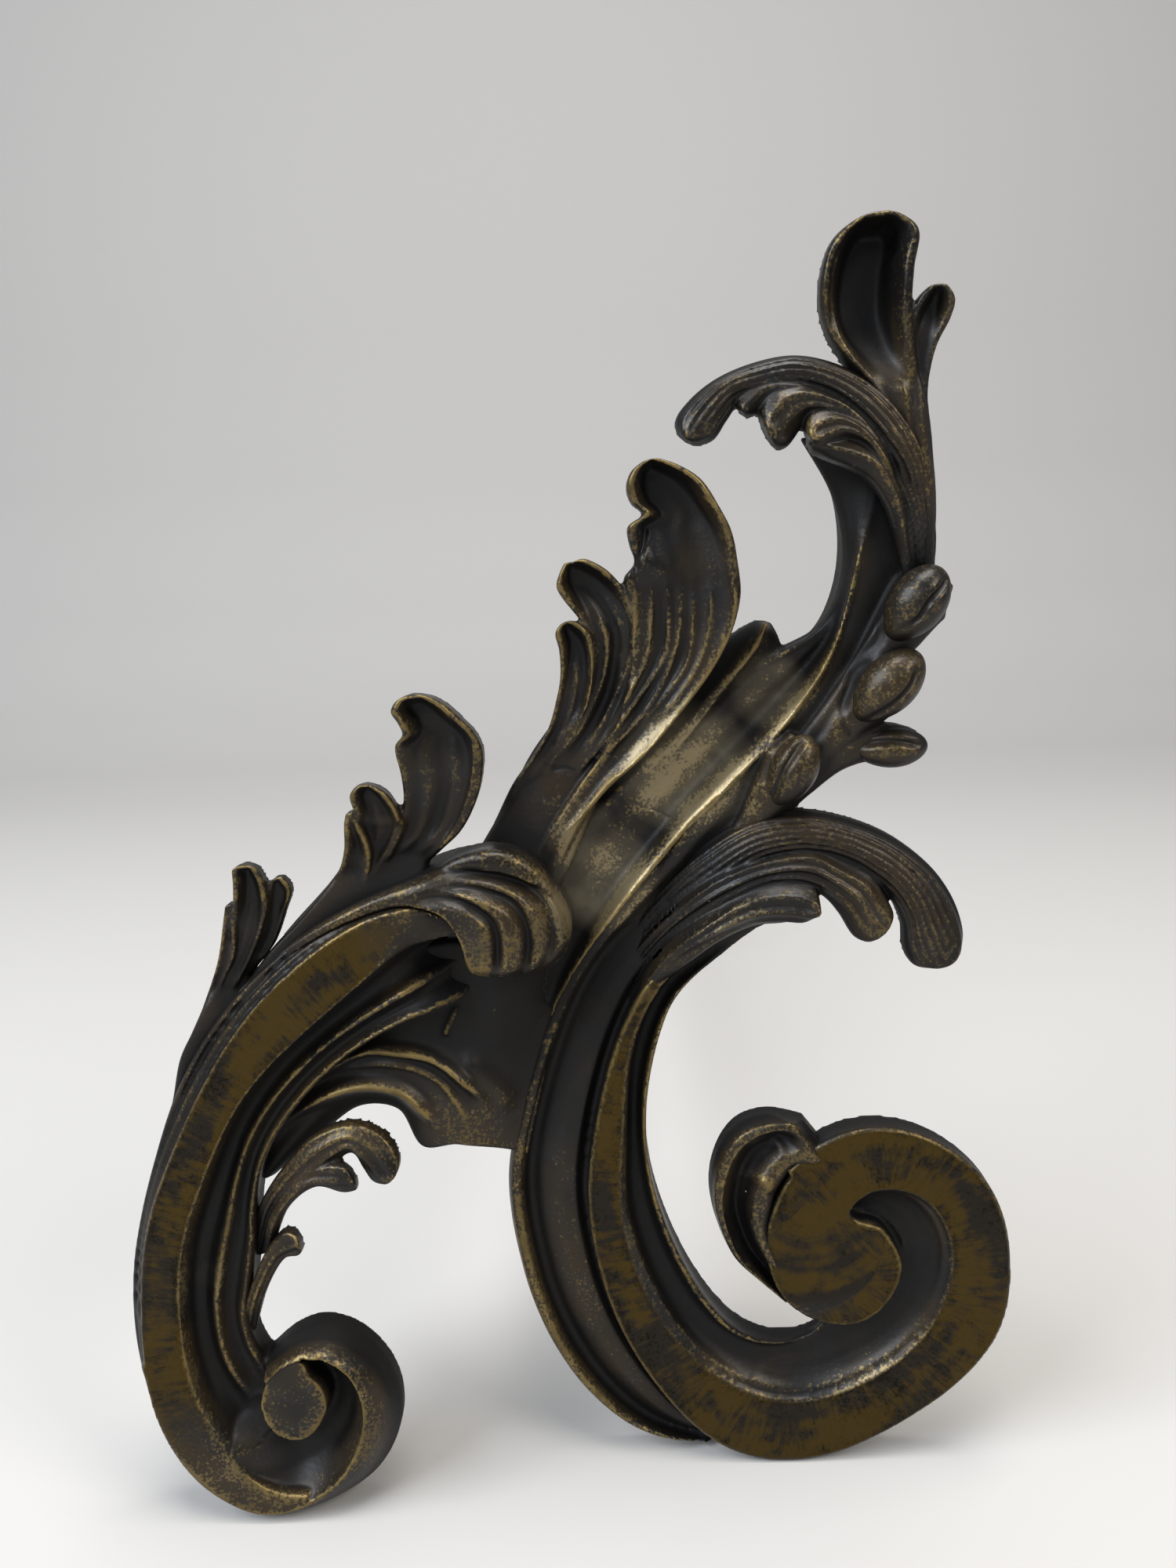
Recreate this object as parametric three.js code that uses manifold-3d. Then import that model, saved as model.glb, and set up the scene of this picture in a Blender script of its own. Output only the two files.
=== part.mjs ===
// Andiron: a scrolled front of cast bronze sections on a wrought-iron log bar.
// Millimetres, +Z up. The front looks along -Y, and the bar runs back along +Y.
//
// Every casting is drawn as one or more strips. A strip runs between two edge curves,
// left and right, given as [x, z] points in the order in which the metal flows, and has
// a depth across it: y = 0 is the face of the right scroll's flat band, less is nearer
// to the viewer and more is further back.

import * as THREE from "three";
import Module from "manifold-3d";

const wasm = await Module();
wasm.setup();
const { Manifold, Mesh } = wasm;

// ---- Driving dimensions -------------------------------------------------------------

const SEAM = 0.3; // gap left at every joint between two pieces
const EDGE_ROUND = 0.8; // worn rounding of a casting's front edges
const FACET = 0.1; // how far a casting's facets may leave its drawn surface
const SLIVER = 0.04; // edges shorter than this are drawn together after a cut

const BAND_FACE = 0; // flat band of the right scroll
const SCROLL_BACK = 9; // flat back of the right scroll
const SCROLL_CHANNEL = 4.5; // depth of the channel beside the flat band
const OUTER_CHANNEL = 6; // depth of the channel along the left limb
const RIM_FACE = 2.5; // raised rim on the left limb
const WEB_SEAT = 2.3; // flat on which the knuckle leaf lies
const LIP_FACE = 1.5; // thin lip round the opening
const EYE_STEP = 0.5; // the eye of the scroll lies this far behind the band

const ARM_FACE = -12.5; // flat band of the left arm
const ARM_BACK = -2; // flat back of the left arm
const ARM_CHANNEL = 4.5; // depth of its inner channels
const ARM_MOULD = 2.5; // how far its outer moulding lies behind the band
const FOOT_DISH = 4.5; // depth of the dish round the eye of the left foot
const FOOT_EYE_RADIUS = 5;
const FLOOR = 0.4; // the scrolls are filed flat where they stand, at this height of the drawing

const STEM_FACE = 0; // ridge of the stem
const STEM_BACK = 12; // flat back of the stem
const WEB_FACE = -3.5; // arch between the arm and the stem
const WEB_BACK = 6.5;
const LEAF_FLUTE = 1.4; // depth of the flutes in the leaves

const BAR_SIDE = 12; // square wrought-iron bar
const BAR_X = -6; // middle of the bar, behind the left limb
const BAR_TOP = 64; // height of the log rest
const BAR_LENGTH = 290; // from the tang to the far end
const TANG_HEIGHT = 42;
const TANG_THICK = 5;
const LUG_THICK = 3; // flat pad on the back of the right scroll, under the tang
const LUG_MARGIN = 1;
const LEG_FOOT = [20, 18, 4]; // spread foot of the rear leg: width, depth, height
const TENON_RADIUS = 3;
const TENON_HEAD = [5, 2]; // radius and height of the hammered head
const BOLT_RADIUS = 2.5;
const BOLT_HEAD = [9, 4]; // square head: width and thickness
const BOLT_REACH = 6; // how far a bolt goes into the casting
const WASHER = [5, 1.2]; // radius and thickness
const BOLT_EDGE = 7; // from the top of the tang to the upper bolt
const BOLT_CLEAR = 3.2; // from the lower washer to the top of the bar
const BOLT_PITCH = TANG_HEIGHT - BAR_SIDE - BOLT_EDGE - WASHER[0] - BOLT_CLEAR;

const BUD_SIDES = 14;
const TURNED_SIDES = 16;

const SCREW_RADIUS = 1.5;
const SCREW_HEAD = [3, 1.6]; // radius and height
const SCREW_REACH = 3; // how far a screw goes into the far casting
const SPLICE = [12, 20, 2.5]; // plate behind the stem's joint: width, length, thickness

// ---- Materials ----------------------------------------------------------------------

const PATINA = { color: 0x3b342b, roughness: 0.38, metalness: 0.85 };
const RUBBED = { color: 0x6d5a33, roughness: 0.42, metalness: 0.9 };
const IRON = { color: 0x26272a, roughness: 0.6, metalness: 0.7 };

// ---- Shaping ------------------------------------------------------------------------

const spline = (points) =>
  new THREE.CatmullRomCurve3(points.map(([x, z]) => new THREE.Vector3(x, 0, z)), false, "centripetal");

const lerp = (a, b, t) => a + (b - a) * t;

// Triangles that fill a ring: round an egg-shaped one as a fan, across a long one as a ladder.
const fan = (size) => Array.from({ length: size - 2 }, (_, k) => [0, k + 1, k + 2]);

const ladder = (size) => Array.from({ length: size / 2 - 1 }, (_, k) => {
  const far = size - 1 - k;
  return [[k, k + 1, far], [k + 1, far - 1, far]];
}).flat();

// Closed solid from rings of equal length: sides between neighbouring rings, flat ends.
function solidFromRings(rings, cap = fan(rings[0].length)) {
  const ringSize = rings[0].length;
  const faces = [];
  for (let i = 0; i < rings.length - 1; i += 1) {
    for (let j = 0; j < ringSize; j += 1) {
      const next = (j + 1) % ringSize;
      const a = i * ringSize + j;
      const b = i * ringSize + next;
      faces.push([a, b, b + ringSize], [a, b + ringSize, a + ringSize]);
    }
  }
  const last = (rings.length - 1) * ringSize;
  for (const [a, b, c] of cap) {
    faces.push([a, c, b], [last + a, last + b, last + c]);
  }
  return toManifold(rings.flat(), faces);
}

function toManifold(points, faces) {
  const build = (list) => new Manifold(new Mesh({
    numProp: 3,
    vertProperties: new Float32Array(points.flatMap((p) => [p.x, p.y, p.z])),
    triVerts: new Uint32Array(list.flat()),
  }));
  const solid = build(faces);
  return solid.volume() > 0 ? solid : build(faces.map(([a, b, c]) => [a, c, b]));
}

// A strip: left and right are edge curves, face(u, t) is the depth of the front at the
// share u of the width and t of the length, back is the depth of its flat back.
// grow makes the same strip larger all round, as the cutter that leaves a seam.
// lap carries its two sides on under the neighbouring strips of the same casting.
function strip({ left, right, face, back, columns = 6, steps = 20, lap = [0, 0] }, grow = 0) {
  const leftCurve = spline(left);
  const rightCurve = spline(right);
  const rings = [];
  for (let i = 0; i <= steps; i += 1) {
    const t = i / steps;
    const a = leftCurve.getPoint(t);
    const b = rightCurve.getPoint(t);
    const along = leftCurve.getTangent(t).add(rightCurve.getTangent(t)).normalize();
    const across = b.clone().sub(a).normalize();
    const end = i === 0 ? -grow : i === steps ? grow : 0;
    a.addScaledVector(across, -grow - lap[0]).addScaledVector(along, end);
    b.addScaledVector(across, grow + lap[1]).addScaledVector(along, end);
    const round = Math.min(EDGE_ROUND / a.distanceTo(b), 0.25);
    const at = (u, y) => new THREE.Vector3(lerp(a.x, b.x, u), y, lerp(a.z, b.z, u));
    const shares = [0, ...Array.from({ length: columns + 1 }, (_, k) => lerp(round, 1 - round, k / columns)), 1];
    const front = shares.map((u) => at(u, face(u, t) - grow + (u === 0 || u === 1 ? EDGE_ROUND : 0)));
    const rear = shares.map((u) => at(u, back + grow)).reverse();
    rings.push([...front, ...rear]);
  }
  return solidFromRings(rings, ladder(rings[0].length));
}

// Flat plate with the outline given, between two depths.
function plate({ outline, from, to, steps = 32 }, grow = 0) {
  const curve = new THREE.CatmullRomCurve3(
    outline.map(([x, z]) => new THREE.Vector3(x, z, 0)), true, "centripetal");
  const points = curve.getPoints(steps).slice(0, -1);
  const middle = points.reduce((sum, p) => sum.add(p), new THREE.Vector3()).divideScalar(points.length);
  const spread = points.map((p) => {
    const outward = p.clone().sub(middle).normalize();
    return p.clone().addScaledVector(outward, grow);
  });
  const ring = (y, inset) => spread.map((p) => {
    const inward = middle.clone().sub(p).normalize();
    return new THREE.Vector3(p.x + inward.x * inset, y, p.y + inward.y * inset);
  });
  const front = from - grow;
  const cap = THREE.ShapeUtils.triangulateShape(points.map((p) => new THREE.Vector2(p.x, p.y)), []);
  return solidFromRings([ring(to + grow, 0), ring(front + EDGE_ROUND, 0), ring(front, EDGE_ROUND)], cap);
}

const join = (solids) => solids.reduce((sum, next) => sum.add(next));

// Draws corners that lie closer together than SLIVER into one, and drops the faces that this
// closes up, because an edge that short has no place in a casting.
function weld(solid) {
  const mesh = solid.getMesh();
  const points = [];
  const home = [];
  for (let i = 0; i < mesh.numVert; i += 1) {
    const [x, y, z] = mesh.vertProperties.subarray(i * mesh.numProp, i * mesh.numProp + 3);
    const here = new THREE.Vector3(x, y, z);
    const near = points.findIndex((p) => p.distanceTo(here) < SLIVER);
    home.push(near < 0 ? points.push(here) - 1 : near);
  }
  const faces = [];
  for (let i = 0; i < mesh.triVerts.length; i += 3) {
    const [a, b, c] = mesh.triVerts.subarray(i, i + 3);
    const face = [home[a], home[b], home[c]];
    if (new Set(face).size === 3) {
      faces.push(face);
    }
  }
  return toManifold(points, faces);
}

// The largest single body of a cut solid: slivers that a cut leaves behind are dropped.
function mainBody(solid) {
  const bodies = solid.decompose();
  return bodies.reduce((best, next) => (next.volume() > best.volume() ? next : best));
}

function box(x, y, z) {
  const [x0, x1] = x;
  const [y0, y1] = y;
  const [z0, z1] = z;
  const ring = (y) => [[x0, z0], [x1, z0], [x1, z1], [x0, z1]].map(([px, pz]) => new THREE.Vector3(px, y, pz));
  return solidFromRings([ring(y0), ring(y1)]);
}

// Round bar along +Y or +Z from a profile of [radius, distance] pairs.
function turned(profile, at, axis = "y", sides = TURNED_SIDES) {
  const rings = profile.map(([radius, distance]) => {
    const ring = [];
    for (let i = 0; i < sides; i += 1) {
      const angle = (i / sides) * 2 * Math.PI;
      const p = radius * Math.cos(angle);
      const q = radius * Math.sin(angle);
      ring.push(axis === "y"
        ? new THREE.Vector3(at[0] + p, at[1] + distance, at[2] + q)
        : new THREE.Vector3(at[0] + p, at[1] + q, at[2] + distance));
    }
    return ring;
  });
  return solidFromRings(rings);
}

// Fluted depth: count flutes across, fading out towards the start of the leaf.
const fluted = (count, depth, level) => (u, t) =>
  level(u, t) + depth * Math.min(1, 3 * t) * 0.5 * (1 - Math.cos(2 * Math.PI * count * u));

// ---- Right scroll -------------------------------------------------------------------

const RIDGE = [[13.5, 128], [7.5, 120], [1.5, 113.5], [-5.5, 104.5], [-9, 98.5], [-12, 92.5], [-15.5, 85],
  [-18, 76.5], [-20.5, 67.5], [-22, 60], [-21.5, 52], [-20.5, 44.5], [-18.5, 34.5], [-15, 25], [-8.5, 15],
  [-1, 6.5], [10, 2.5]];
const BAND_OUTER = [[30, 122], [26, 114.5], [16, 107], [9, 103], [5, 98], [1, 91], [-1.5, 84.5], [-3.5, 77],
  [-5.5, 68.5], [-6.5, 60], [-6.5, 53], [-5.5, 45.5], [-3.5, 36], [-0.5, 27.5], [5, 18], [11.5, 9], [17.5, 4.5]];
const VOLUTE_OUTER = [[24, 1.5], [31, -0.2], [40.5, 2], [48, 6], [55, 10.5], [61, 14.5], [66.5, 20.5], [70, 26.5],
  [72, 32], [72.5, 41], [71, 51], [68, 57], [62.5, 64], [54, 68.5], [47.5, 69.5], [40.5, 68.5], [35, 66], [30.5, 61.5]];
const BAND_INNER = [[17, 105], [10.5, 101], [7, 96], [3.5, 90], [1.5, 83], [1, 76.5], [0.5, 68],
  [-0.5, 60], [0, 53], [1.5, 46], [4, 37], [9, 28.5], [14.5, 21.5], [21.5, 17], [27.5, 14.5]];
const GROOVE_OUTER = [[34, 14], [41, 16], [48.5, 20], [53.5, 24.5], [57, 28.5], [59.5, 34.5], [61, 40],
  [61, 44], [60, 49], [58, 52.5], [54.5, 56], [50, 57], [46, 56.5], [43.5, 55], [42, 52]];
const EYE_MIDDLE = [[40, 50.5], [38, 49]];
const OPENING = [[18.5, 103], [13, 98.5], [10, 94], [8, 89], [6, 82], [5, 75.5], [4.5, 67], [5.5, 60],
  [7, 53.5], [9, 47.5], [12.5, 39], [17, 32], [21.5, 27], [26, 24.5], [31, 23.5], [36, 24.5], [40, 27.5]];
const EYE_EDGE = [[42, 29], [45.5, 30.5], [49, 33.5], [51.5, 38], [52, 42], [50.5, 46], [48, 49.5], [45, 50.5], [42, 51.5]];
const EYE_PLATE = [[49, 67], [40.5, 66.5], [36, 64], [31, 60], [28, 54], [26.5, 47.5], [27.5, 40], [30, 35],
  [34, 31.5], [38, 30], [41.5, 29.5], [45.5, 30.5], [49, 33.5], [51.5, 38], [52, 42], [50.5, 46], [48, 49.5],
  [43, 51.5], [42, 54], [45, 58]];
const STEM_WEB_LEFT = [[-3, 133], [-14, 124], [-14, 117.5], [-12, 111.5], [-12.5, 104], [-13, 98]];
const STEM_WEB_RIGHT = RIDGE.slice(0, 6).map(([x, z]) => [x + 1, z]);

const bandFace = () => BAND_FACE;
const outerChannelFace = (u) => (u < 0.16 ? RIM_FACE : RIM_FACE + (OUTER_CHANNEL - RIM_FACE) * (u < 0.9 ? 1 : 0.6));
const lipFace = (u) => (u > 0.8 ? LIP_FACE : SCROLL_CHANNEL);

const rightScroll = [
  { left: STEM_WEB_LEFT, right: STEM_WEB_RIGHT, face: () => WEB_SEAT, back: SCROLL_BACK,
    columns: 2, steps: 8, lap: [0, 1] },
  { left: RIDGE, right: BAND_OUTER, face: outerChannelFace, back: SCROLL_BACK, columns: 6, steps: 24, lap: [0, 1] },
  { left: [...BAND_OUTER.slice(2), ...VOLUTE_OUTER], right: [...BAND_INNER, ...GROOVE_OUTER, ...EYE_MIDDLE], face: bandFace,
    back: SCROLL_BACK, columns: 1, steps: 48 },
  { left: BAND_INNER, right: OPENING, face: lipFace, back: SCROLL_BACK, columns: 4, steps: 22, lap: [1, 0] },
  { left: [[25, 15.5], ...GROOVE_OUTER], right: [[36, 24.5], ...EYE_EDGE], face: () => SCROLL_CHANNEL - 0.3,
    back: SCROLL_BACK, columns: 1, steps: 15, lap: [1, 2] },
];

// ---- Left arm -----------------------------------------------------------------------

const ARM_OUTLINE = [[-26, 121], [-33, 120.5], [-42, 118], [-50.5, 115], [-58.5, 109], [-66.5, 102], [-74, 93],
  [-79, 84], [-83, 73], [-87, 62], [-89.5, 52], [-90.5, 42], [-90, 30], [-88, 21], [-84.5, 12], [-79, 5], [-72, 1], [-64, 0]];
const ARM_BAND_OUTER = [[-26.5, 112], [-28.5, 115.5], [-34, 118], [-41, 116], [-47.5, 113], [-54.5, 108], [-62, 101],
  [-68.5, 93.5], [-75, 82], [-80.5, 71.5], [-84, 63], [-86, 55], [-87.5, 46.5], [-88, 32], [-87.5, 25], [-84.5, 15.5],
  [-81, 10], [-77, 6], [-72, 3], [-65, 2]];
const ARM_BAND_INNER = [[-31, 111], [-36, 110], [-41.5, 106], [-48, 101], [-53.5, 96], [-60.5, 90.5],
  [-64.5, 85], [-68.5, 80], [-71.5, 74], [-74, 68], [-77, 62], [-79, 55], [-80, 48], [-80.5, 40.5], [-80, 33], [-79, 27],
  [-76, 21], [-71, 16], [-66, 12.5], [-62, 11]];
const ARM_INNER_EDGE = [[-24, 100], [-27, 98.5], [-37, 96], [-48, 90.5], [-58.5, 79], [-64.5, 70], [-66.5, 62], [-66.5, 53],
  [-69, 45], [-69.5, 40], [-69.5, 35], [-67, 30], [-64, 26]];
const FOOT_OUTLINE = [[-90, 30], [-88, 21], [-84, 12], [-78, 5], [-71, 1], [-63, 0], [-55, 1], [-49, 5], [-45, 11],
  [-43, 18], [-43.5, 25], [-47, 31.5], [-52, 35.5], [-57, 36.5], [-62, 35.5], [-67, 31], [-76, 34]];
const FOOT_RIDGE_OUTER = [[-79, 5], [-71, 1], [-63, 0], [-55, 1], [-49, 5], [-45, 11], [-43, 18], [-43.5, 25], [-47, 31.5],
  [-52, 35.5], [-57, 36.5], [-62, 35.5], [-66, 32]];
const FOOT_RIDGE_INNER = [[-77, 7.5], [-70, 5], [-63, 5.5], [-57, 7], [-53, 10.5], [-51, 15], [-50, 20], [-50.5, 24.5], [-52.5, 28],
  [-55.5, 30.5], [-58.5, 31], [-61.5, 30], [-64.5, 27]];
const FOOT_EYE = [-61, 22.5];

// A low roll runs along the middle of the inner channel.
const armChannelFace = (u) => ARM_FACE + ARM_CHANNEL - (u > 0.4 && u < 0.65 ? 1.2 : 0);
const leftArm = [
  { left: ARM_BAND_OUTER, right: ARM_BAND_INNER, face: () => ARM_FACE, back: ARM_BACK, columns: 1, steps: 28 },
  { left: ARM_OUTLINE, right: ARM_BAND_OUTER.slice(1), face: () => ARM_FACE + ARM_MOULD, back: ARM_BACK,
    columns: 2, steps: 24, lap: [0, 1] },
  { left: ARM_BAND_INNER.slice(0, 17), right: ARM_INNER_EDGE, face: armChannelFace, back: ARM_BACK,
    columns: 5, steps: 22, lap: [1, 0] },
  { left: FOOT_RIDGE_OUTER, right: FOOT_RIDGE_INNER, face: (u) => ARM_FACE + 1 + 4 * Math.abs(u - 0.6), back: ARM_BACK,
    columns: 4, steps: 18 },
];
const footPlate = { outline: FOOT_OUTLINE, from: ARM_FACE + FOOT_DISH, to: ARM_BACK, steps: 30 };

// ---- Stem and leaves ----------------------------------------------------------------

const STEM_LEFT = [[42, 192], [40.5, 186], [40.5, 180], [40, 174], [39, 167], [36.5, 161], [30.5, 158], [26, 156], [18, 151], [9, 142], [-2.5, 133.5]];
const STEM_RIGHT = [[54, 192], [55, 186], [56, 180], [56.5, 174], [56, 165.5], [53, 157], [49.5, 150.5], [44, 143.5], [37, 137], [33.5, 132], [30, 123]];
const stemFace = (u, t) => STEM_FACE + 3.2 * Math.abs(u - lerp(0.2, 0.42, t)) - 1.5 * (1 - t);
const stem = [{ left: STEM_LEFT, right: STEM_RIGHT, face: stemFace, back: STEM_BACK, columns: 6, steps: 16 }];

const leafLevel = (root, tip) => (u, t) => lerp(root, tip, t * t);

const tallLeaf = [
  { left: [[-15, 118], [-6, 135.5], [-1, 142], [2.5, 150], [4.5, 156.5], [5, 163], [4.5, 168], [4.5, 172.5], [4.5, 176.5], [4.5, 180], [4, 184.5], [4.5, 187.5], [7, 189.5]],
    right: [[-11, 115.5], [-3.5, 132], [6, 141], [13, 149], [18.5, 156.5], [21.5, 163], [22.5, 168], [22, 173], [21, 178], [19, 182], [16, 186.5], [12, 189], [9, 190]],
    face: fluted(4, LEAF_FLUTE, leafLevel(-2.5, -7)), back: 3, columns: 12, steps: 20 },
  { left: [[-18, 132], [-12, 140.5], [-7.5, 146], [-4, 151.5], [-2.5, 156.5], [-2.5, 161.5], [-4, 164], [-5.5, 166], [-7, 168], [-8, 170], [-7.5, 172], [-6.5, 174]],
    right: [[-11, 126], [-5.5, 137], [-0.5, 143.5], [3, 150], [4.5, 156], [5.5, 161.5], [4.5, 166], [3, 169.5], [1, 172], [-1, 173.5], [-3.5, 174.5], [-5, 174]],
    face: fluted(2, LEAF_FLUTE, leafLevel(-2, -6)), back: 3, columns: 6, steps: 14 },
  { left: [[-21, 129], [-17, 136.5], [-13.5, 141], [-10.5, 146], [-9, 150.5], [-8, 155], [-8, 159.5], [-8.5, 162.5], [-7.5, 164]],
    right: [[-12, 125], [-10.5, 138], [-6.5, 145], [-3.5, 150], [-2.5, 154.5], [-2, 159.5], [-2.5, 162], [-4.5, 164], [-6, 164.5]],
    face: fluted(1, LEAF_FLUTE, leafLevel(-1.5, -5)), back: 3, columns: 4, steps: 10 },
];

const crownLeaf = [
  { left: [[43, 190.5], [42.5, 199.5], [40, 203.5], [37, 207.5], [35.5, 211.5], [35.5, 216], [36, 220], [38.5, 223.5], [42, 226]],
    right: [[54.5, 190.5], [53, 199], [51.5, 203.5], [51, 207], [50, 211], [50, 214.5], [50.5, 218.5], [51, 223.5], [47, 226.5]],
    face: (u, t) => -3 - 3 * t + 6 * Math.sin(Math.PI * u) * Math.min(1, 2.5 * (1 - t)) * Math.min(1, 2 * t), back: 7, columns: 8, steps: 14 },
  { left: [[49, 196], [49.5, 204.5], [49.5, 209], [50.5, 212], [52.5, 214.5]],
    right: [[53.5, 196], [53, 204.5], [55, 208.5], [56.5, 212], [55.5, 215]],
    face: (u, t) => -2 - 2 * t + 1.5 * Math.sin(Math.PI * u), back: 5, columns: 3, steps: 8 },
];

const crownSideLeaf = [
  { left: [[51.5, 185], [50, 189], [46, 195.5], [41.5, 201], [37, 204], [32, 205.5], [26.5, 204.5], [20.5, 203], [16.5, 200.5], [13.5, 197.5], [12.5, 194.5]],
    right: [[49, 181], [47.5, 185.5], [43.5, 192], [38.5, 197], [33.5, 199.5], [29.5, 200], [25.5, 198.5], [22, 194.5], [19, 192.5], [15.5, 192], [13, 192.5]],
    face: fluted(4, LEAF_FLUTE * 0.6, leafLevel(-5, -8)), back: 2, columns: 8, steps: 16 },
  { left: [[50.5, 182], [46.5, 188.5], [41, 196], [36, 199.5], [31.5, 200.5], [28, 199], [26.5, 196], [26, 193.5]],
    right: [[48, 176], [46, 182.5], [43, 187], [40, 189.5], [37.5, 188.5], [34, 189], [31, 190], [28, 191.5]],
    face: fluted(3, LEAF_FLUTE * 0.6, leafLevel(-4, -8)), back: 2, columns: 6, steps: 12 },
];

const droopingLeaf = [
  { left: [[9, 116.5], [16, 124], [24, 129], [32.5, 130], [39, 129], [46, 126.5], [51, 123.5], [56, 119], [59.5, 113.5], [61, 108], [60.5, 104.5]],
    right: [[11.5, 109.5], [18.5, 115], [26, 120.5], [33.5, 122], [40.5, 120.5], [45, 117.5], [48.5, 114], [50.5, 109.5], [51, 104.5], [52.5, 102], [56.5, 101.5]],
    face: fluted(4, LEAF_FLUTE * 0.6, leafLevel(0.5, -6)), back: 4, columns: 8, steps: 16 },
  { left: [[10.5, 111.5], [18.5, 118.5], [27, 121.5], [34.5, 122.5], [39.5, 120], [44, 117.5], [46.5, 113.5], [48, 110]],
    right: [[11.5, 107.5], [20, 113.5], [27.5, 117], [33.5, 116.5], [37, 114.5], [39.5, 111.5], [42, 107.5], [44.5, 106.5]],
    face: fluted(3, LEAF_FLUTE * 0.6, leafLevel(0.5, -5)), back: 4, columns: 6, steps: 12 },
  { left: [[9, 106], [16, 112.5], [24, 117.5], [31, 118.5], [35, 117], [36, 113.5]],
    right: [[10.5, 102.5], [16.5, 107], [23.5, 110], [29.5, 110.5], [33, 110.5], [35, 112]],
    face: fluted(3, LEAF_FLUTE * 0.6, leafLevel(0, -4)), back: 4, columns: 6, steps: 10 },
];

const shoulderLeaf = [
  { left: [[-47.5, 118], [-40.5, 125], [-36.5, 130], [-35, 135.5], [-35, 140], [-35.5, 145], [-34, 147], [-34.5, 149], [-35.5, 151], [-34, 153.5]],
    right: [[-35, 121], [-29, 126.5], [-25.5, 130], [-23, 134.5], [-21.5, 139], [-21, 144], [-22, 147], [-24.5, 150], [-26.5, 152], [-30, 154]],
    face: fluted(3, LEAF_FLUTE, leafLevel(-8, -13)), back: -3.5, columns: 8, steps: 14 },
  { left: [[-51.5, 117.5], [-46, 125], [-43.5, 130.5], [-43, 133.5], [-43.5, 137], [-42, 139]],
    right: [[-41, 119], [-37, 127], [-35, 131], [-35.5, 133.5], [-37, 137], [-39.5, 139]],
    face: fluted(2, LEAF_FLUTE, leafLevel(-8, -11)), back: -3.5, columns: 5, steps: 8 },
  { left: [[-58.5, 111.5], [-50.5, 119.5], [-47, 123.5], [-45.5, 127.5], [-45, 132], [-44.5, 134]],
    right: [[-50, 110.5], [-44, 118], [-41.5, 123.5], [-41, 127.5], [-42, 131.5], [-43, 134.5]],
    face: fluted(1, LEAF_FLUTE, leafLevel(-8, -10)), back: -3.5, columns: 3, steps: 8 },
];

const outerLeaf = [
  { left: [[-73.5, 95], [-70, 104.5], [-67.5, 109], [-66, 114], [-65, 118.5], [-64.5, 122.5], [-64.5, 125.5]],
    right: [[-69.5, 98], [-66, 104], [-63, 109], [-60.5, 114], [-59, 118], [-59, 122.5], [-60.5, 126]],
    face: fluted(1, LEAF_FLUTE, leafLevel(-8, -11)), back: -3.5, columns: 4, steps: 10 },
  { left: [[-66.5, 104], [-63, 109], [-60.5, 114], [-59.5, 119], [-58.5, 122.5]],
    right: [[-64, 105], [-59.5, 110.5], [-56.5, 117], [-55, 121], [-56.5, 123.5]],
    face: () => -8, back: -3.5, columns: 2, steps: 7 },
  { left: [[-76, 93], [-71.5, 102.5], [-69, 108.5], [-67.5, 114], [-66.5, 118.5]],
    right: [[-71.5, 97], [-69, 103.5], [-66, 109], [-65, 114], [-65, 119]],
    face: () => -8.5, back: -3.5, columns: 2, steps: 7 },
];

const innerLeaf = [
  { left: [[-67, 54], [-65, 62.5], [-60, 70], [-55, 75], [-48.5, 77.5], [-43.5, 76.5], [-40.5, 73.5], [-39, 70]],
    right: [[-63.5, 56], [-60.5, 62.5], [-57, 66], [-52.5, 69], [-48, 72], [-46, 69], [-44.5, 67], [-41.5, 66.5]],
    face: fluted(2, LEAF_FLUTE * 0.7, leafLevel(-8, -12)), back: -5, columns: 6, steps: 12 },
  { left: [[-65, 56.5], [-62.5, 62.5], [-57, 68.5], [-52, 70.5], [-48.5, 70.5]],
    right: [[-62.5, 57.5], [-59.5, 63], [-54.5, 66], [-49.5, 65], [-46.5, 66]],
    face: () => -10, back: -5, columns: 3, steps: 8 },
];

const innerSprig = [
  { left: [[-66.5, 47.5], [-63.5, 55], [-60.5, 60], [-58, 60]],
    right: [[-64.5, 49.5], [-60, 55], [-57, 56.5], [-56, 58]],
    face: () => -10, back: -5, columns: 3, steps: 7 },
];

const archWeb = [
  { left: [[-72, 66], [-66, 80], [-55, 95], [-42, 105], [-30, 109], [-20, 107], [-13, 101]],
    right: [[-64, 65], [-54, 73.5], [-47, 78], [-40.5, 77], [-36.5, 69.5], [-30, 69.5], [-20, 65]],
    face: (u) => WEB_FACE + 1.5 * Math.cos(6 * Math.PI * u), back: WEB_BACK, columns: 9, steps: 16 },
];

const knuckleLeaf = [
  { left: [[-34, 124], [-25.5, 127.5], [-17.5, 126], [-12.5, 122.5], [-9, 117], [-8, 111.5], [-9.5, 104.5], [-13, 98.5]],
    right: [[-34, 113], [-31, 112], [-27.5, 113.5], [-25.5, 110], [-25, 104.5], [-25.5, 101.5], [-23.5, 98.5], [-20.5, 97]],
    face: (u) => -10 - 4 * Math.sin(Math.PI * u) + 0.8 * Math.cos(6 * Math.PI * u), back: 2, columns: 9, steps: 12 },
];

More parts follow.
